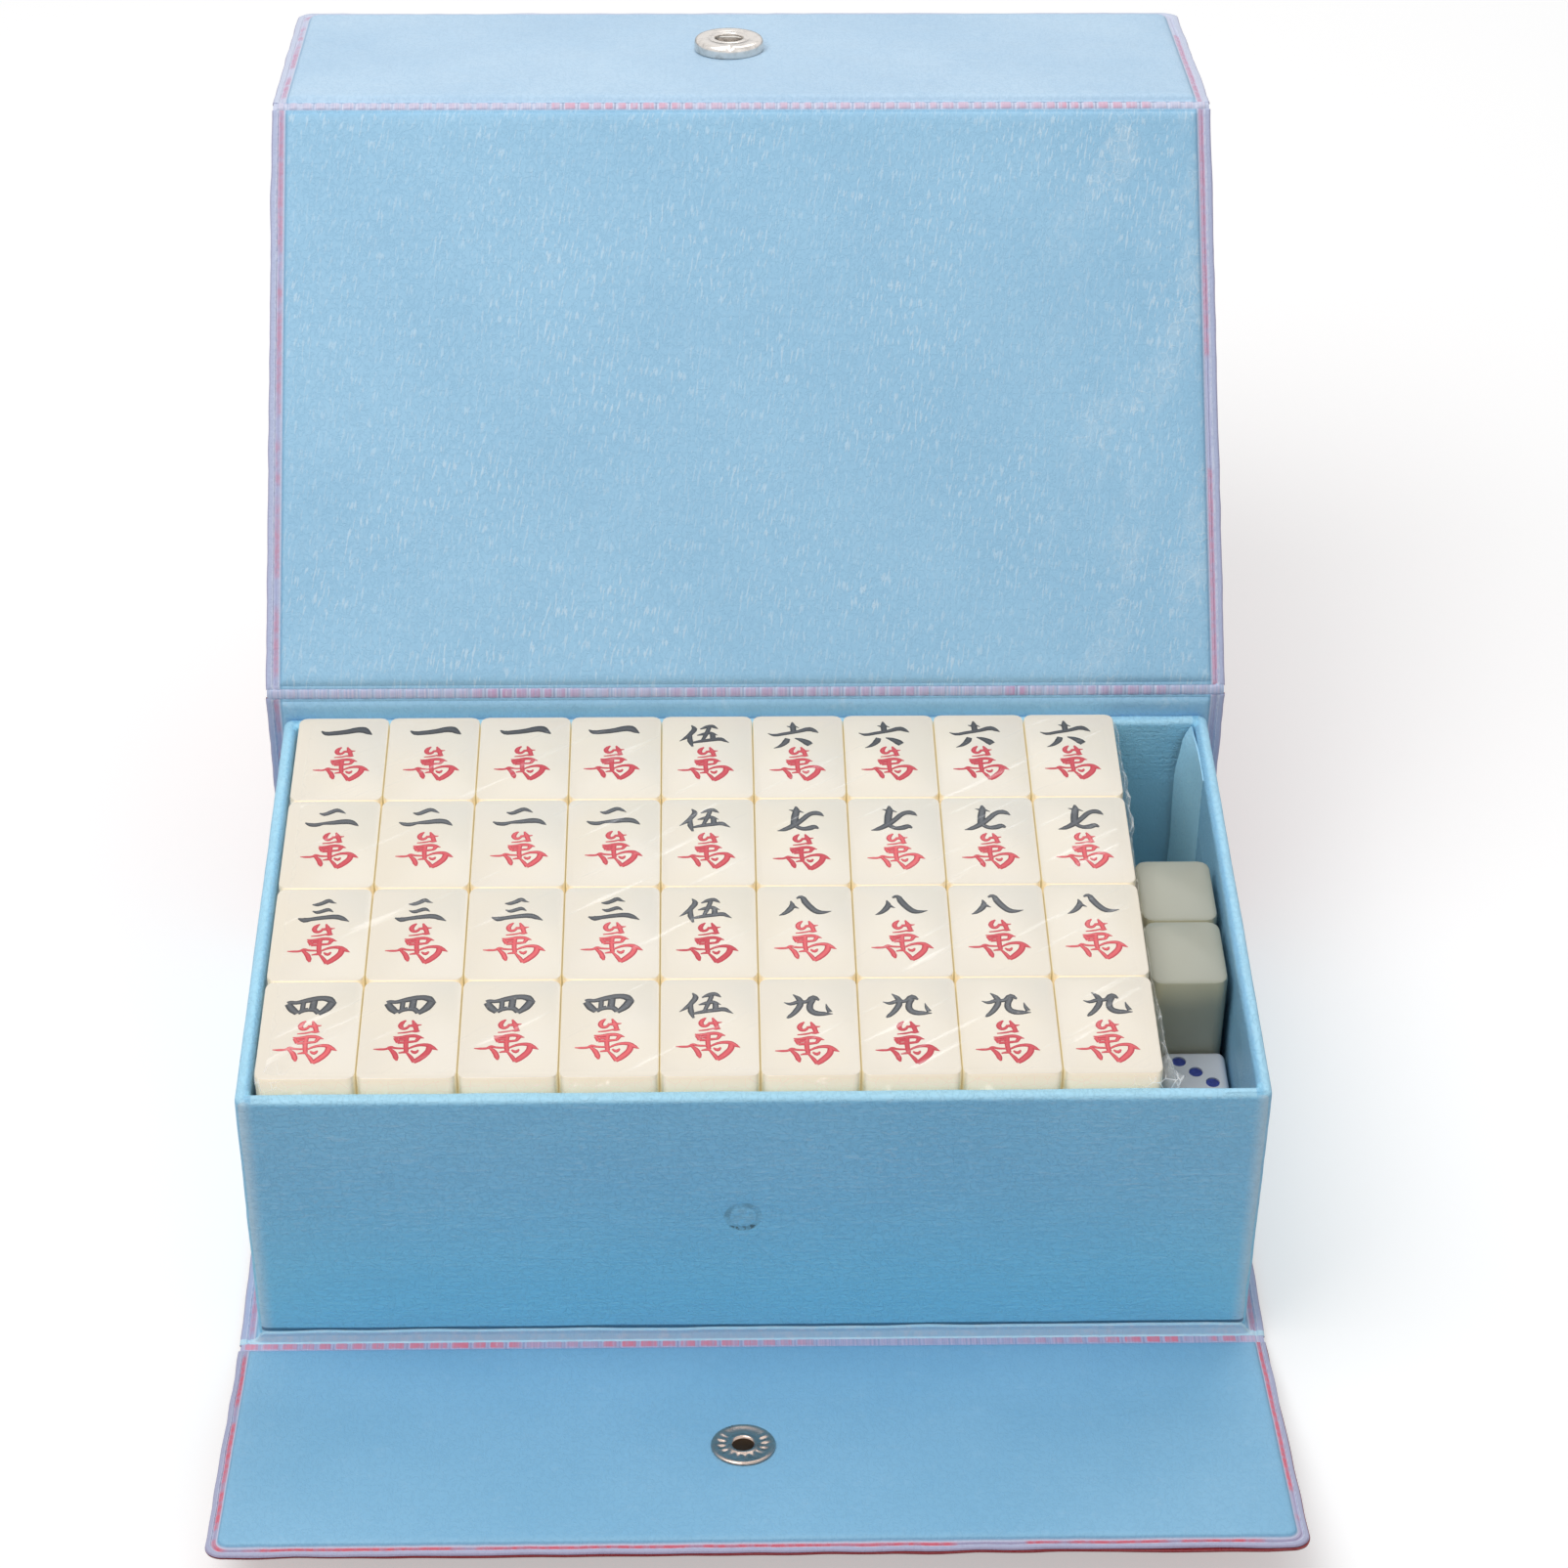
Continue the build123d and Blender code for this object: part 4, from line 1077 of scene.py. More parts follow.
numerals = {
    "one": [
        [(3.9, 3.65, 0.12), (4.65, 4.25, 0.45), (6.05, 4.2, 0.5), (8.25, 3.8, 0.55), (9.85, 3.35, 0.65),
         (10.8, 3.4, 0.72), (11.55, 4.05, 0.45), (12.25, 4.65, 0.08)],
    ],
    "two": [
        [(5.15, 3.25, 0.1), (5.95, 3.5, 0.38), (7.05, 2.9, 0.42), (7.9, 2.5, 0.42), (8.75, 2.9, 0.25),
         (9.35, 3.35, 0.04)],
        [(3.05, 5.65, 0.12), (3.85, 6.1, 0.38), (4.8, 6.2, 0.42), (5.9, 5.85, 0.3), (7.55, 5.65, 0.45),
         (9.35, 5.4, 0.55), (10.35, 5.55, 0.5), (11.1, 6.1, 0.3), (11.6, 6.55, 0.04)],
    ],
    "three": [
        [(5.7, 3.95, 0.1), (6.5, 3.95, 0.36), (7.45, 3.5, 0.38), (8.2, 3.05, 0.42), (8.8, 3.4, 0.22),
         (9.45, 3.65, 0.04)],
        [(5.85, 5.5, 0.08), (6.6, 5.8, 0.34), (7.55, 5.45, 0.36), (8.25, 5.2, 0.38), (9.1, 5.75, 0.05)],
        [(3.75, 7.25, 0.12), (4.7, 7.65, 0.5), (5.75, 7.45, 0.38), (7.85, 7.05, 0.42), (9.8, 6.95, 0.5),
         (10.65, 7.35, 0.42), (11.7, 8.05, 0.06)],
    ],
    "four": [
        [(3.7, 4.75, 0.3), (4.15, 4.55, 0.32), (5, 4.6, 0.3), (6.85, 4.05, 0.42), (8.9, 3.6, 0.42),
         (10.05, 3.95, 0.5), (11.05, 4.85, 0.1)],
        [(3.8, 4.9, 0.42), (4.5, 6.1, 0.5), (5.35, 7, 0.38)],
        [(10.45, 4.65, 0.5), (9.75, 5.95, 0.5), (8.5, 7.2, 0.3)],
        [(5.4, 6.95, 0.3), (6.05, 6.45, 0.32), (6.95, 6.15, 0.35)],
        [(6.95, 6.15, 0.35), (7.9, 6.25, 0.38), (8.5, 7.05, 0.32)],
        [(6.1, 4.6, 0.3), (6.05, 6.25, 0.3)],
        [(7.7, 4.2, 0.42), (7.55, 6.25, 0.42)],
    ],
    "five": [
        [(4.9, 3.2, 0.1), (5.35, 4.15, 0.42), (4.9, 5.2, 0.4), (3.95, 6.5, 0.3), (2.9, 7.45, 0.05)],
        [(4.65, 5.65, 0.3), (4.65, 7.35, 0.42), (5.05, 8.9, 0.15)],
        [(4.9, 7.9, 0.2), (6.5, 7.45, 0.35), (8.4, 7.1, 0.38), (9.7, 6.95, 0.42), (10.35, 7.4, 0.25),
         (11.05, 7.9, 0.04)],
        [(6.3, 4.25, 0.1), (7.3, 3.7, 0.35), (8.25, 3.45, 0.38), (8.8, 3.8, 0.25), (9.25, 4.2, 0.05)],
        [(7.8, 3.85, 0.32), (7.35, 5.4, 0.34), (6.65, 7.35, 0.25)],
        [(5.8, 5.9, 0.1), (6.9, 5.55, 0.34), (8.05, 5.3, 0.34), (9.2, 5.9, 0.05)],
        [(8.35, 5.4, 0.4), (8.4, 6.95, 0.42)],
    ],
    "six": [
        [(6.55, 1.9, 0.12), (6.65, 2.95, 0.45), (6.7, 4.45, 0.42)],
        [(5.65, 2.95, 0.06), (6.55, 3.25, 0.3)],
        [(6.75, 2.85, 0.25), (7.65, 3.4, 0.05)],
        [(2.5, 4.9, 0.06), (3.5, 5.35, 0.3), (5.15, 5, 0.34), (7.65, 4.35, 0.36), (9.4, 3.8, 0.5),
         (10.2, 4.25, 0.35), (10.85, 4.8, 0.05)],
        [(5.7, 6.3, 0.4), (5.4, 7.15, 0.5), (4.45, 8.3, 0.3), (3.4, 8.9, 0.05)],
        [(6.9, 6.2, 0.1), (7.9, 6.65, 0.4), (8.9, 7.4, 0.6), (9.4, 8, 0.5)],
    ],
    "seven": [
        [(6.65, 2.2, 0.15), (6.7, 3.2, 0.5), (6.45, 4.8, 0.55), (6.3, 6.9, 0.55)],
        [(5.55, 3.05, 0.06), (6.5, 3.35, 0.3)],
        [(6.8, 3.2, 0.3), (7.9, 3.8, 0.05)],
        [(3.55, 8.4, 0.06), (4.7, 8.05, 0.4), (6.25, 6.95, 0.5), (7.6, 5.6, 0.42), (8.85, 4.2, 0.42),
         (9.85, 3.9, 0.48), (10.45, 4.15, 0.4), (11.1, 4.75, 0.05)],
        [(6.5, 7.2, 0.35), (7.5, 7.85, 0.4), (8.7, 7.75, 0.5), (9.5, 7.45, 0.48), (10.15, 7.85, 0.15)],
    ],
    "eight": [
        [(5.3, 3.8, 0.1), (5.5, 4.9, 0.42), (5.1, 5.8, 0.45), (4.2, 6.8, 0.3), (3.4, 7.25, 0.06)],
        [(5.6, 5.05, 0.35), (6.55, 5.6, 0.05)],
        [(6.2, 3.15, 0.15), (6.95, 2.85, 0.35), (7.55, 4, 0.5), (8.5, 5.55, 0.5), (9.45, 6.45, 0.48),
         (10.5, 6.55, 0.3), (11.55, 6.3, 0.05)],
    ],
    "nine": [
        [(4.55, 3.8, 0.08), (5.3, 4.65, 0.38), (5.65, 5.55, 0.45), (4.95, 7.5, 0.42), (3.95, 8.75, 0.32),
         (3.5, 9.15, 0.12)],
        [(3.15, 5.6, 0.06), (4.1, 5.95, 0.3), (5.25, 5.5, 0.35), (6.6, 5.45, 0.34), (7.65, 4.55, 0.5),
         (8.5, 5.15, 0.15)],
        [(7.55, 5, 0.42), (7.05, 6.25, 0.45), (7.2, 7.5, 0.48), (8, 8.1, 0.5), (9.15, 8.2, 0.4),
         (10.45, 8.25, 0.06)],
        [(9.5, 6, 0.06), (9.7, 7, 0.25), (10.05, 7.85, 0.35)],
    ],
}
# How far the lower character stands from its place under "one", in mm to the right and down
lowerShift = {
    "one": (0, 0), "two": (-0.3, 0.2), "three": (-0.3, 0.9), "four": (-0.7, 1.3), "five": (-0.6, 0.8),
    "six": (-0.6, 0.6), "seven": (-0.5, 1.3), "eight": (-0.5, 0.9), "nine": (-0.8, 2.3),
}
characterRows = [[low] * 4 + ["five"] + [high] * 4
                 for low, high in (("one", "six"), ("two", "seven"), ("three", "eight"), ("four", "nine"))]
brush = {
    "relief": 0.05, "sink": 0.12, "side": 2, "smooth": 3,
    "apart": 10,                # mm between the strokes' heights until they are laid flat
    "lift": 0.002, "lifts": 5,  # strokes that cross lie this much apart
    "weight": 1.22, "numeralWeight": 1.15, "weights": {"four": 1.35},
    "middle": (7.6, 12.4), "frontRows": (1.05, 1.06),   # the red sign is larger in the two front rows
}
# What stands out of line, by row and column: a whole figure or its numeral, in mm to the right and down
figureShift = {(0, 1): (-0.35, 0), (0, 2): (-0.55, 0), (0, 3): (-0.95, 0)}
numeralShift = {
    (0, 4): (0, -0.6), (1, 4): (0, -0.5), (2, 4): (0, -0.1), (3, 4): (0, 0.1), (3, 8): (1, 0),
    **{(3, column): (0.6, 0) for column in (5, 6, 7)}, **{(3, column): (0, 0.3) for column in range(4)},
}
fiveDrop = {0: -0.3, 2: 0.4, 3: 0.4}        # by row: how far down the lower character stands under "five"
inks = {"black": 0, "red": 1, "green": 2, "blue": 3}


def makeInk():
    material, start = newMaterial("engraved_ink")
    core, ink, tone = marked(start, "ink").axes()
    worn = placeInMm(start).noise(0.9, 3, 0.6)
    # core is how far a stroke's surface faces up: the lighter core and darker edges are painted light and shade
    # across the engraved stroke, and tone sets how light the core is and how worn the paint
    grey = (core.step(0.6, 0.95) * (0.35 + tone * 0.65)).tint(colour(30, 32, 38), colour(104, 106, 110))
    red = (core.step(0.55, 0.95) * (0.3 + tone * 0.7)).tint(colour(192, 34, 58), colour(240, 106, 110))
    green = core.step(0.3, 0.85).tint(colour(20, 96, 60), colour(70, 150, 104))
    blue = core.step(0.3, 0.85).tint(colour(26, 56, 128), colour(74, 104, 176))
    base = layered(grey, (ink.step(0.4, 0.6), red), (ink.step(1.4, 1.6), green), (ink.step(2.4, 2.6), blue),
                   (worn.step(0.62, 0.8) * 0.3 * tone, colour(236, 226, 216)))
    return principled(material, base, 0.42 + worn * 0.2, worn.bump(0.2, 0.0001))


inkMaterial = makeInk()


def newLine():
    startFresh()
    bpy.ops.curve.primitive_bezier_curve_add()
    line = bpy.context.object.data
    line.splines.clear()
    return line


def lineToMesh(name):
    bpy.ops.object.convert(target="MESH")
    return rename(bpy.context.object, name)


def writeStrokes(name, layout, top, body):      # layout: (strokes, ink, left, back, tone) for each figure
    line = newLine()
    line.bevel_depth = mm
    line.bevel_resolution = brush["side"]
    line.resolution_u = brush["smooth"]
    line.use_fill_caps = True
    marks = []
    for strokes, ink, left, back, tone in layout:
        for count, stroke in enumerate(strokes):
            spline = line.splines.new("BEZIER")
            spline.bezier_points.add(len(stroke) - 1)
            for knot, (x, y, radius) in zip(spline.bezier_points, stroke):
                knot.co = ((left + x) * mm, (back - y) * mm, brush["apart"] * (1 + len(marks)) * mm)
                knot.radius = radius
                knot.handle_left_type = knot.handle_right_type = "AUTO"
            marks.append((ink, tone, brush["lift"] * (count % brush["lifts"])))
    piece = lineToMesh(name)
    held = piece.data.attributes.new("ink", "FLOAT_VECTOR", "POINT")
    cores = [point.normal.z for point in piece.data.vertices]
    for point, core in zip(piece.data.vertices, cores):
        ink, tone, lift = marks[round(point.co.z / mm / brush["apart"]) - 1]
        point.co.z = (top + lift + brush["relief"] * max(core, -brush["sink"])) * mm
        held.data[point.index].vector = (max(core, 0), ink, tone)
    smoothShade(piece, 60)
    dress(piece, inkMaterial, body)


def tileCorners(node):              # the back left corner of each tile in a row, and the top
    low, high = boxInMm(node)
    pitch = (high.x - low.x + tileSizes["between"]) / tileSizes["row"]
    return [(low.x + pitch * k, high.y) for k in range(tileSizes["row"])], high.z


dots = {                            # a dot's size in mm, and the dots' places as parts of the tile
    1: (3.4, [(0.5, 0.5)]), 2: (2.4, [(0.5, 0.25), (0.5, 0.75)]),
    3: (1.9, [(0.24, 0.2), (0.5, 0.5), (0.76, 0.8)]),
    4: (1.9, [(0.28, 0.25), (0.72, 0.25), (0.28, 0.75), (0.72, 0.75)]),
    5: (1.6, [(0.26, 0.2), (0.74, 0.2), (0.5, 0.5), (0.26, 0.8), (0.74, 0.8)]),
    6: (1.5, [(x, y) for x in (0.3, 0.7) for y in (0.2, 0.52, 0.8)]),
    7: (1.3, [(0.22, 0.14), (0.5, 0.24), (0.78, 0.34)] + [(x, y) for x in (0.3, 0.7) for y in (0.58, 0.82)]),
    8: (1.3, [(x, y) for x in (0.3, 0.7) for y in (0.14, 0.38, 0.62, 0.86)]),
    9: (1.4, [(x, y) for x in (0.22, 0.5, 0.78) for y in (0.18, 0.5, 0.82)]),
}
bars = {1: [1], 2: [2], 3: [1, 2], 4: [2, 2], 5: [2, 1, 2], 6: [3, 3], 7: [1, 3, 3], 8: [4, 4], 9: [3, 3, 3]}


def dotFace(count):
    size, spots = dots[count]
    width, length = tileSizes["width"], tileSizes["length"]
    return [[(width * x + size * side, length * y, size * part)
             for side, part in ((-0.42, 0.62), (0, 1), (0.42, 0.62))] for x, y in spots]


def barFace(count):
    rows = len(bars[count])
    reach = min(3.0, 7.2 / rows + 0.4)
    strokes = []
    for level, number in enumerate(bars[count]):
        spread = 0.12 * (1 - 2 * level / max(rows - 1, 1)) * (rows > 1)
        y = tileSizes["length"] * (level + 0.5 + spread) / rows
        for k in range(number):
            x = tileSizes["width"] * (k + 1) / (number + 1)
            strokes.append([(x, y + off, radius) for off, radius in (
                (-reach, 0.62), (-reach * 0.5, 0.4), (-0.25, 0.6), (0.25, 0.6), (reach * 0.5, 0.4),
                (reach, 0.62))])
    return strokes


windFaces = {
    "east": [[(3.4, 5.6, 0.3), (7.4, 5.2, 0.36), (11.6, 5.6, 0.3)], [(4.4, 8.2, 0.3), (10.4, 8.0, 0.34)],
             [(4.4, 8.2, 0.3), (4.8, 12.4, 0.3)], [(10.4, 8.0, 0.34), (10.0, 12.4, 0.3)],
             [(4.8, 10.3, 0.22), (10.1, 10.2, 0.22)], [(4.8, 12.4, 0.28), (10.0, 12.4, 0.28)],
             [(7.4, 3.0, 0.3), (7.5, 10.0, 0.4), (7.4, 18.6, 0.3)],
             [(7.2, 12.6, 0.3), (5.4, 15.4, 0.36), (2.8, 17.6, 0.06)],
             [(7.7, 12.6, 0.2), (9.8, 15.2, 0.44), (12.2, 17.2, 0.1)]],
    "south": [[(3.6, 5.4, 0.3), (7.4, 5.0, 0.36), (11.4, 5.4, 0.3)], [(7.4, 3.0, 0.3), (7.4, 8.0, 0.34)],
              [(3.4, 8.4, 0.3), (3.2, 18.0, 0.34)], [(3.4, 8.4, 0.3), (7.4, 8.0, 0.3), (11.6, 8.4, 0.36)],
              [(11.6, 8.4, 0.36), (11.6, 17.6, 0.34), (10.2, 18.4, 0.1)],
              [(5.6, 9.8, 0.1), (6.2, 11.0, 0.26)], [(9.2, 9.8, 0.1), (8.6, 11.0, 0.26)],
              [(5.0, 12.4, 0.26), (10.0, 12.2, 0.28)], [(4.8, 14.8, 0.26), (10.2, 14.6, 0.28)],
              [(7.4, 12.2, 0.3), (7.4, 17.4, 0.3)]],
    "west": [[(3.2, 4.6, 0.3), (7.4, 4.2, 0.36), (11.8, 4.6, 0.3)], [(3.2, 8.6, 0.3), (3.4, 17.4, 0.34)],
             [(3.2, 8.6, 0.3), (7.4, 8.2, 0.3), (11.8, 8.6, 0.34)], [(11.8, 8.6, 0.34), (11.4, 17.4, 0.34)],
             [(3.4, 17.2, 0.3), (11.4, 17.2, 0.3)], [(6.0, 4.6, 0.3), (5.8, 10.0, 0.3), (4.6, 13.4, 0.06)],
             [(9.0, 4.6, 0.3), (9.0, 12.4, 0.32), (10.8, 13.2, 0.06)]],
    "north": [[(5.6, 3.4, 0.34), (5.6, 17.6, 0.36)], [(2.6, 8.0, 0.26), (5.4, 7.6, 0.3)],
              [(2.4, 15.6, 0.3), (5.4, 13.4, 0.2)], [(9.0, 3.4, 0.34), (9.0, 15.8, 0.36), (10.0, 17.2, 0.34),
                                                     (12.2, 17.0, 0.3), (12.6, 14.8, 0.05)],
              [(9.2, 9.4, 0.2), (12.0, 7.0, 0.34)]],
    "centre": [[(3.6, 7.0, 0.34), (3.9, 12.8, 0.34)], [(3.6, 7.0, 0.34), (7.4, 6.6, 0.34), (11.4, 7.0, 0.4)],
               [(11.4, 7.0, 0.4), (11.0, 12.8, 0.34)], [(3.9, 12.6, 0.34), (11.0, 12.4, 0.34)],
               [(7.4, 3.0, 0.36), (7.5, 11.0, 0.44), (7.4, 18.8, 0.2)]],
    "blank": [[(2.8, 3.4, 0.3), (12.1, 3.4, 0.3)], [(12.1, 3.4, 0.3), (12.1, 18.5, 0.3)],
              [(12.1, 18.5, 0.3), (2.8, 18.5, 0.3)], [(2.8, 18.5, 0.3), (2.8, 3.4, 0.3)]],
}


def lowerFace(pack, row, column):       # each lower layer has its own suit
    if pack == 3:
        return dotFace(column + 1), inks["red" if column % 2 else "blue"]
    if pack == 2:
        return barFace(column + 1), inks["green" if column % 3 else "blue"]
    order = list(windFaces)
    name = order[(column + row * 2) % len(order)]
    return windFaces[name], inks[{"centre": "red", "blank": "blue"}.get(name, "black")]


def heavier(strokes, weight):
    return [[(x, y, radius * weight) for x, y, radius in stroke] for stroke in strokes]


def larger(strokes):
    (mx, my), (sx, sy) = brush["middle"], brush["frontRows"]
    return [[(mx + (x - mx) * sx, my + (y - my) * sy, radius) for x, y, radius in stroke]
            for stroke in strokes]


def numberFace(row, column, left, back, tone):      # the red sign below and the numeral above
    name = characterRows[row][column]
    right, down = lowerShift[name]
    over = figureShift.get((row, column), (0, 0))
    left, back = left + over[0], back - over[1]
    lower = heavier(tenThousand, brush["weight"])
    if row > 1:
        lower = larger(lower)
    drop = fiveDrop.get(row, 0) if name == "five" else 0
    # worn here sets how light the numeral's painted core is, and how worn its paint
    worn = random.random() * 0.3 if row == 0 else 0.5 + random.random() * 0.5
    upRight, upDown = numeralShift.get((row, column), (0, 0))
    upper = heavier(numerals[name], brush["weights"].get(name, brush["numeralWeight"]))
    return [(lower, inks["red"], left + right, back - down - drop, tone * (0.35 if row == 0 else 1)),
            (upper, inks["black"], left + upRight, back - upDown, worn)]


def writePack(pack):
    for row in range(4):
        corners, top = tileCorners("pack_%d_tile_row_%d" % (pack, row + 1))
        layout = []
        for column, (left, back) in enumerate(corners):
            tone = random.random()
            if pack == 4:
                layout += numberFace(row, column, left, back, tone)
            else:
                layout.append((*lowerFace(pack, row, column), left, back, tone))
        writeStrokes("pack_%d_row_%d_characters" % (pack, row + 1), layout, top, "tile_pack_%d" % pack)


for pack in range(1, 5):
    writePack(pack)
print("characters ready")


# Clear film round each layer: tight over the tiles, crumpled along the right side and at the front corners
filmSizes = {                       # mm; the pairs are where an effect starts and where it is full
    "cuts": 46, "corner": 0.95, "rightZone": 1.2, "sideTop": (0.2, 1.4), "sideFoot": (11.5, 4),
    "sideSwell": 1.3, "sideSwellAtSpares": 0.5, "spareRange": (-21, 14), "spareEase": 3,
    "bulb": 2.3, "bulbRound": (7, 1), "bulbTop": (0, 1.2), "bulbFoot": (9, 3),
    "cornerRound": (6, 1), "cornerFoot": (5, 0.5), "topWave": 0.035,
}


def makeFilmMaterial():
    material, start = newMaterial("clear_film")
    crumple = marked(start, "cloth").axes()[0]
    place = placeInMm(start)
    folds = place.stretch(1, 0.35, 0.8).cells(0.55, "DISTANCE_TO_EDGE").step(0.07, 0.0)
    streak = place.turned(-0.62).stretch(0.03, 0.45, 0.3).noise(1, 3, 0.6).step(0.6, 0.7)
    alpha = 0.015 + crumple * 0.18 + folds * crumple * 0.5 + streak * 0.14
    # white along the streaks and crumpled folds is painted highlight, and shine makes it glow
    base = (folds * crumple).most(streak).tint((0.9, 0.94, 0.96, 1), white)
    shine = (streak * 0.5).most(folds * crumple * 0.3).tint(black, white)
    material.surface_render_method = "BLENDED"
    return principled(material, base, 0.1 + crumple * 0.15, place.noise(0.4, 3, 0.6).bump(0.3, 0.0003), {
        "Alpha": alpha.least(0.85), "Emission Color": shine, "Emission Strength": 1.0,
        "Specular IOR Level": 0.8})


filmMaterial = makeFilmMaterial()


def makeFilm(pack):
    sizes = filmSizes
    node = "pack_%d_film" % pack
    low, high = boxInMm(node)
    centre, half, radius = (low + high) / 2, (high - low) / 2, sizes["corner"]
    startFresh()
    bpy.ops.mesh.primitive_cube_add(size=1)
    piece = rename(bpy.context.object, node + "_wrap")
    enter("EDIT")
    bpy.ops.mesh.subdivide(number_cuts=sizes["cuts"])
    enter("OBJECT")
    marks = piece.data.attributes.new("cloth", "FLOAT_VECTOR", "POINT")
    core = half - Vector((radius, radius, radius))
    (nearSpare, farSpare), ease = sizes["spareRange"], sizes["spareEase"]
    for point in piece.data.vertices:
        spot = Vector(2 * point.co[k] * half[k] for k in range(3))
        held = Vector(max(-core[k], min(core[k], spot[k])) for k in range(3))
        push = (spot - held).normalized()
        spot = centre + held + push * radius
        x, y, z = spot
        down = high.z - z
        fine = ripple(x, y, z + pack * 40, 1.4)
        wave = 0.5 + 0.5 * ripple(y, pack * 9, z * 0.3, 4.5)
        right = smooth(high.x - sizes["rightZone"], high.x, x)
        nearSpares = smooth(nearSpare - ease, nearSpare, y) * smooth(farSpare + ease, farSpare, y)
        swell = sizes["sideSwell"] + (sizes["sideSwellAtSpares"] - sizes["sideSwell"]) * nearSpares
        band = smooth(*sizes["sideTop"], down) * smooth(*sizes["sideFoot"], down)
        crumple = right * band * (0.25 + 0.55 * smooth(5, 2, down))
        spot.x += swell * right * band * (0.25 + 0.75 * wave + 0.3 * fine)
        bulb = smooth(*sizes["bulbRound"], math.hypot(x - high.x, y - low.y))
        bulb *= smooth(*sizes["bulbTop"], down)
        bulb *= smooth(*sizes["bulbFoot"], down)
        spot.x += sizes["bulb"] * bulb * (0.6 + 0.7 * fine)
        spot.z += 0.25 * bulb * right * fine
        corner = smooth(*sizes["cornerRound"], math.hypot(x - low.x, y - low.y))
        corner *= smooth(*sizes["cornerFoot"], down)
        spot += push * corner * (0.12 + 0.12 * fine)
        spot.z += sizes["topWave"] * push.z * (ripple(x, y, pack, 9) + 0.6 * ripple(x + y, y * 0.3, pack, 3))
        ends = 0.1 * smooth(1.3, 0, min(y - low.y, high.y - y)) * (0.5 + wave)
        leftSide = 0.4 * smooth(1.0, 0, x - low.x) * (0.5 + wave)
        point.co = spot * mm
        marks.data[point.index].vector = (max(crumple, bulb, corner * 0.8, ends, leftSide), 0, 0)
    pick(piece)
    bpy.ops.object.shade_smooth()
    dress(piece, filmMaterial, "tile_pack_%d" % pack)
    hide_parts(node)


for pack in range(1, 5):
    makeFilm(pack)
print("film ready")


# Snap parts are turned about their own axis: (radius, height over the panel's middle) in mm
def turnedPiece(name, profile, steps):
    spline = newLine().splines.new("POLY")
    spline.points.add(len(profile) - 1)
    for knot, (radius, height) in zip(spline.points, profile):
        knot.co = (radius * mm, 0, height * mm, 1)
    piece = lineToMesh(name)
    enter("EDIT")
    bpy.ops.mesh.select_all(action="SELECT")
    bpy.ops.mesh.spin(steps=steps, angle=2 * math.pi, center=(0, 0, 0), axis=(0, 0, 1))
    bpy.ops.mesh.select_all(action="SELECT")
    bpy.ops.mesh.remove_doubles(threshold=0.000002)
    bpy.ops.mesh.normals_make_consistent(inside=False)
    enter("OBJECT")
    return piece


def seatOnPanel(piece, panelName, node):
    panel = panels[panelName]
    x, t = ((max(spots) + min(spots)) / 2 for spots in spotsOn(panelName, node))
    across = panel["along"].cross(panel["out"])
    for point in piece.data.vertices:
        a, b, h = point.co / mm
        point.co = (onPanel(panelName, x, t, h) + across * a + panel["along"] * b) * mm


postProfile = [
    (4.78, 1.15), (4.86, 1.28), (4.8, 1.46), (4.62, 1.58), (4.36, 1.62), (4.1, 1.56), (3.8, 1.44),
    (3.4, 1.37), (3.0, 1.35), (2.7, 1.37), (2.45, 1.45), (2.25, 1.56), (2.05, 1.62), (1.85, 1.6),
    (1.7, 1.5), (1.58, 1.3), (1.5, 1.0), (1.28, 0.5), (0.95, 0.3), (0.95, -2.6), (1.3, -2.75),
    (1.3, 0.35), (1.95, 1.15), (4.78, 1.15),
]
socketProfile = [
    (0.9, 1.15), (6.08, 1.15), (6.12, 1.3), (6.12, 2.3), (6.06, 2.6), (5.94, 2.88), (5.72, 3.1),
    (5.4, 3.22), (5.0, 3.25), (3.72, 3.24), (3.58, 3.18), (3.42, 3.16), (3.28, 3.2), (3.14, 3.25),
    (2.76, 3.25), (2.6, 3.2), (2.5, 3.05), (2.5, 2.82), (4.7, 2.8), (4.7, 1.4), (0.9, 1.4), (0.9, 1.15),
]
# a dark disc across the mouth of the post's hollow: painted shade for the depth of the hollow
hollowShadeProfile = [(0, 1.18), (1.62, 1.18), (1.62, 1.3), (1.2, 1.24), (0, 1.22)]
snapSizes = {                       # mm, and degrees round the post's axis
    "dimples": 17, "inner": (2.4, 3.0), "outer": (4.3, 3.6), "floor": 1.2, "depth": 0.26,
    "groups": (0, 90, 180), "groupEnds": (52, 34), "notchDepth": 0.35,
}


def dimpled(x, y, z):               # the punch leaves groups of dimples in the hollow ring
    reach, turn = math.hypot(x, y), math.degrees(math.atan2(y, x)) % 360
    group = max(smooth(*snapSizes["groupEnds"], abs((turn - middle + 180) % 360 - 180))
                for middle in snapSizes["groups"])
    ring = smooth(*snapSizes["inner"], reach) * smooth(*snapSizes["outer"], reach) * (z > snapSizes["floor"])
    wave = 0.5 + 0.5 * math.cos(math.radians(turn * snapSizes["dimples"]))
    return snapSizes["depth"] * (wave - 0.3) * group * ring


def notched(x, y, z):               # a small notch in the front edge
    return -snapSizes["notchDepth"] * (smooth(0.5, 0.2, abs(x)) * smooth(-4.9, -5.5, y) * smooth(2.4, 3.0, z))


def makeSnapPart(name, profile, steps, panelName, node, finish, rise=None):
    piece = turnedPiece(name, profile, steps)
    if rise is not None:
        for point in piece.data.vertices:
            point.co.z += rise(*(point.co / mm)) * mm
    seatOnPanel(piece, panelName, node)
    smoothShade(piece, 35)
    dress(piece, finishes[finish], panels[panelName]["body"])
    return piece


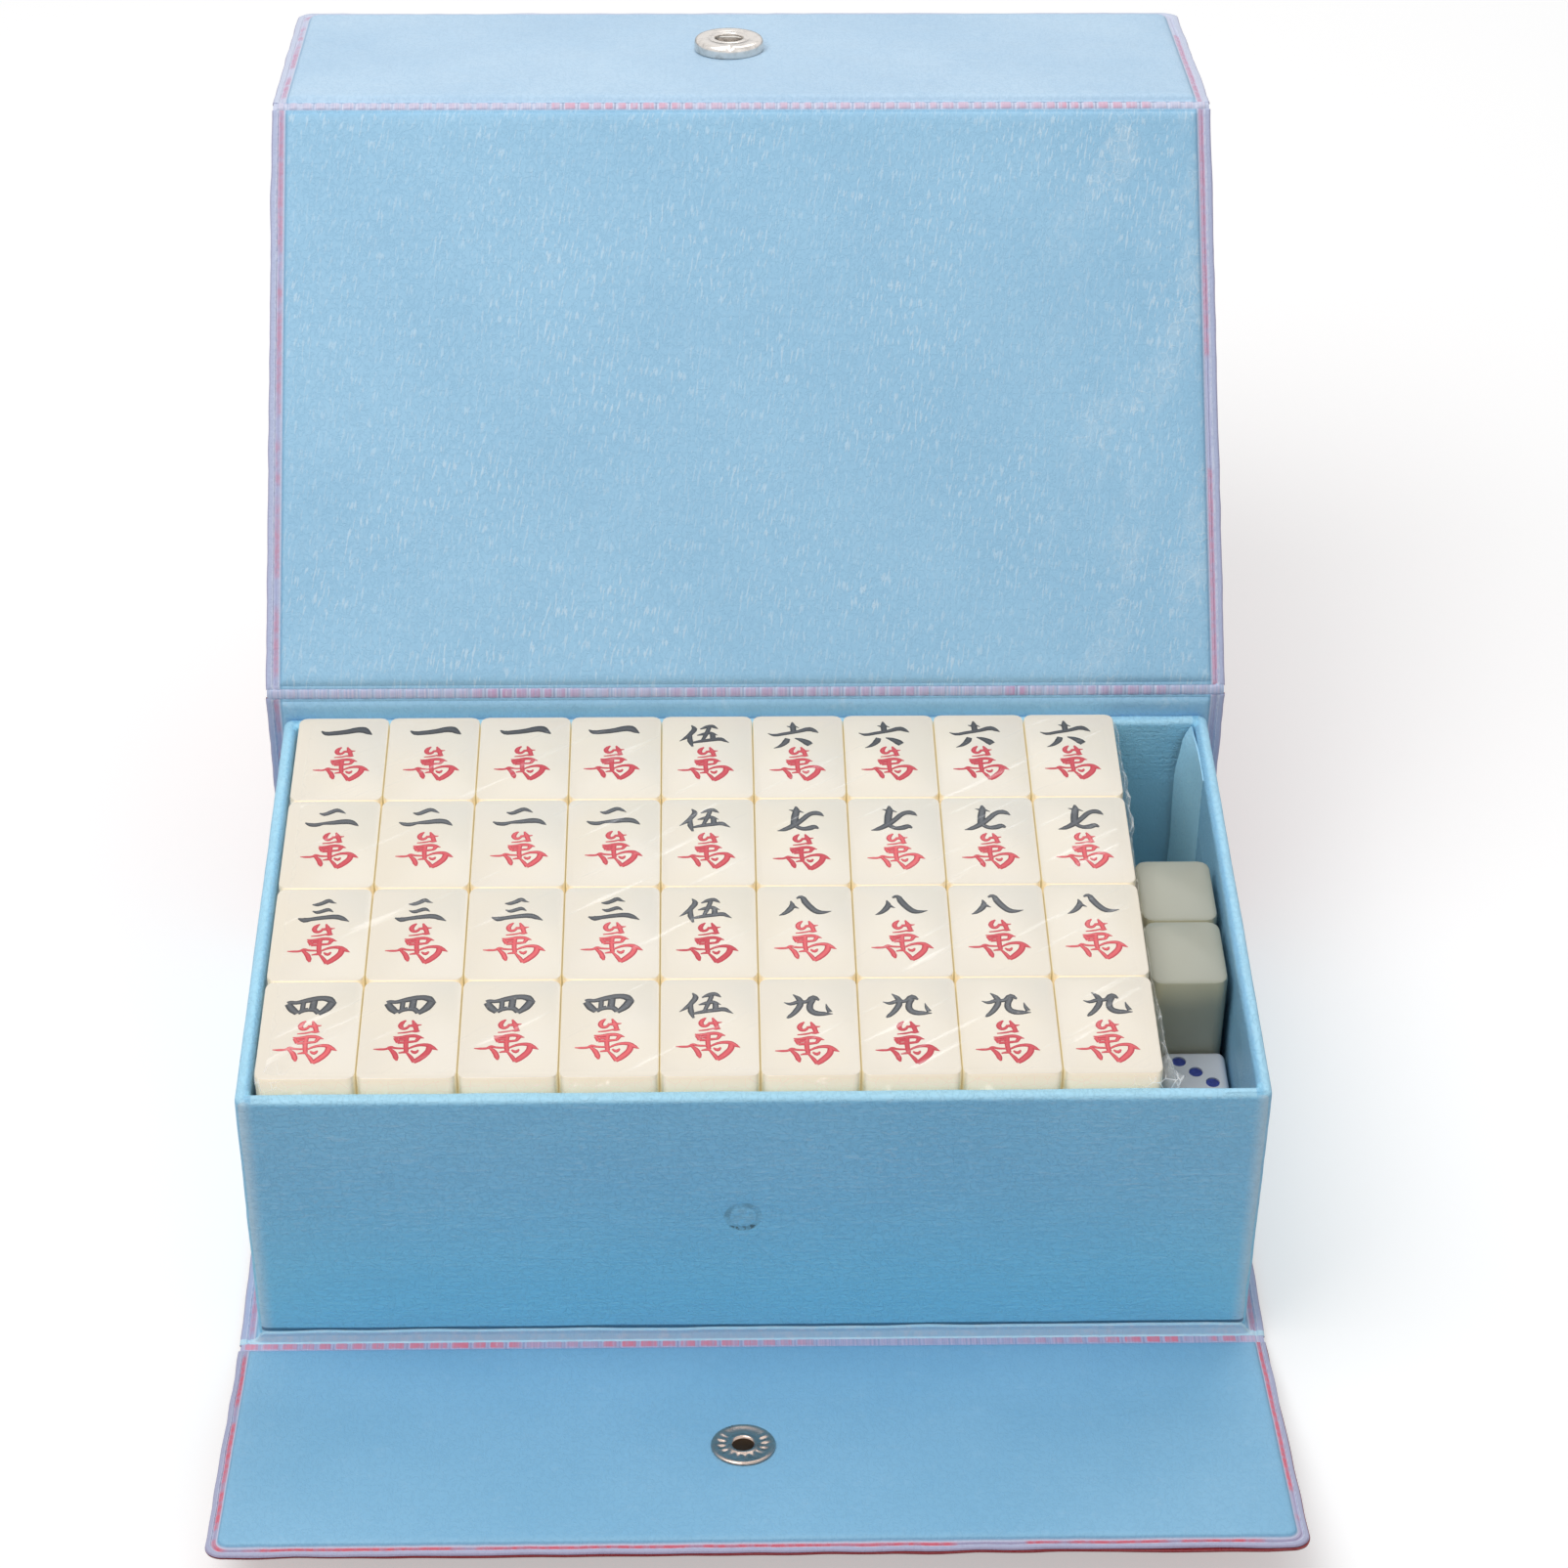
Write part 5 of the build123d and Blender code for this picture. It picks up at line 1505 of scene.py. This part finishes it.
post = makeSnapPart("snap_post_eyelet", postProfile, 88, "front_flap", "snap_post", "post_steel", dimpled)
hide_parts("snap_post")
# painted shade: a dark disc in the post's hollow
makeSnapPart("snap_post_hollow_shade", hollowShadeProfile, 32, "front_flap", "snap_post", "post_well")
socket = makeSnapPart("snap_socket_shell", socketProfile, 88, "lid_flap", "snap_socket", "nickel_steel",
                      notched)
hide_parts("snap_socket")
print("snap ready")


# Die pips: a dark blue drop of paint in each recess
pipSizes = {                        # mm
    "offset": 2.4, "recess": 0.3, "steps": 24,
    "profile": [(0, -0.04), (1.04, -0.04), (1.06, 0.05), (0.95, 0.1), (0.7, 0.06), (0, 0.03)],
}


def makePips():
    material, start = newMaterial("pip_paint")
    uneven = placeInMm(start).noise(0.9, 3, 0.6)
    base = uneven.step(0.3, 0.7).tint(colour(38, 52, 128), colour(62, 78, 160))
    principled(material, base, 0.3 + uneven * 0.2, uneven.bump(0.2, 0.0001))
    low, high = boxInMm("dice")
    size, step = high.x - low.x, (high.z - low.z + tileSizes["between"]) / 3
    near, far = -pipSizes["offset"], pipSizes["offset"]
    layouts = {
        1: [(0, 0)], 2: [(near, near), (far, far)], 3: [(near, far), (0, 0), (far, near)],
        4: [(near, near), (near, far), (far, near), (far, far)],
        5: [(near, near), (near, far), (0, 0), (far, near), (far, far)],
        6: [(near, near), (near, 0), (near, far), (far, near), (far, 0), (far, far)],
    }
    sides = {3: ((1, 0, 0), (0, 0, 1)), 4: ((1, 0, 0), (0, 0, -1)), 2: ((1, 0, 0), (0, -1, 0)),
             5: ((1, 0, 0), (0, 1, 0)), 1: ((0, 1, 0), (1, 0, 0)), 6: ((0, 1, 0), (-1, 0, 0))}
    drop = turnedPiece("pip", pipSizes["profile"], pipSizes["steps"])
    drops = []
    for level in range(3):
        middle = Vector(((low.x + high.x) / 2, (low.y + high.y) / 2, low.z + size / 2 + step * level))
        for value, (across, out) in sides.items():
            across, out = Vector(across), Vector(out)
            upward = out.cross(across)
            turn = Matrix((across, upward, out)).transposed().to_4x4()
            for a, b in layouts[value]:
                spot = middle + out * (size / 2 - pipSizes["recess"]) + across * a + upward * b
                drops.append(makeCopy(drop, Matrix.Translation(spot * mm) @ turn))
    bpy.data.objects.remove(drop)
    piece = joinAll("dice_pips", drops)
    smoothShade(piece, 40)
    dress(piece, material, "dice")


makePips()
print("dice ready")


# The right wall's turned-in sheet bows away from the tray's back corner
tuckSizes = {                       # mm
    "columns": 18, "rows": 34, "top": 0.6, "foot": 43, "length": 15, "bowStarts": 4, "bowEnds": 3,
    "wallGap": 0.12, "bow": 1.25, "leastStand": 0.35, "stand": 1.1, "thickness": 0.3,
}


def makeCornerTuck():
    sizes = tuckSizes
    low, high = boxInMm("tray_wrap")
    wallX, wallY = high.x - traySizes["wall"], high.y - traySizes["wall"]
    top, foot = high.z - sizes["top"], high.z - sizes["foot"]

    def place(i, j):
        f, g = i / (sizes["columns"] - 1), j / (sizes["rows"] - 1)
        z = top + (foot - top) * g
        depth = high.z - z
        reach = 0.3 + 1.0 * smooth(0, 3, depth) + 1.1 * smooth(1, 10, depth) + 0.12 * math.sin(depth * 0.2)
        stand = sizes["leastStand"] + sizes["stand"] * smooth(0.5, 7, depth)    # off the back wall
        y = wallY - sizes["length"] + (sizes["length"] - stand) * f
        bow = smooth(wallY - sizes["length"] + sizes["bowStarts"], wallY - stand + sizes["bowEnds"], y)
        x = wallX - sizes["wallGap"] - sizes["bow"] * reach * bow * (1 + 0.05 * ripple(y, z, 3, 6))
        return Vector((x, y, z)), (x, y, z)

    piece = gridPiece("corner_tuck", sizes["columns"], sizes["rows"], place)
    facing(piece, Vector((-1, -0.5, 0)))
    thicken(piece, sizes["thickness"])
    smoothShade(piece, 50)
    dress(piece, clothFinishes["corner_tuck"], "tray_and_base")


makeCornerTuck()
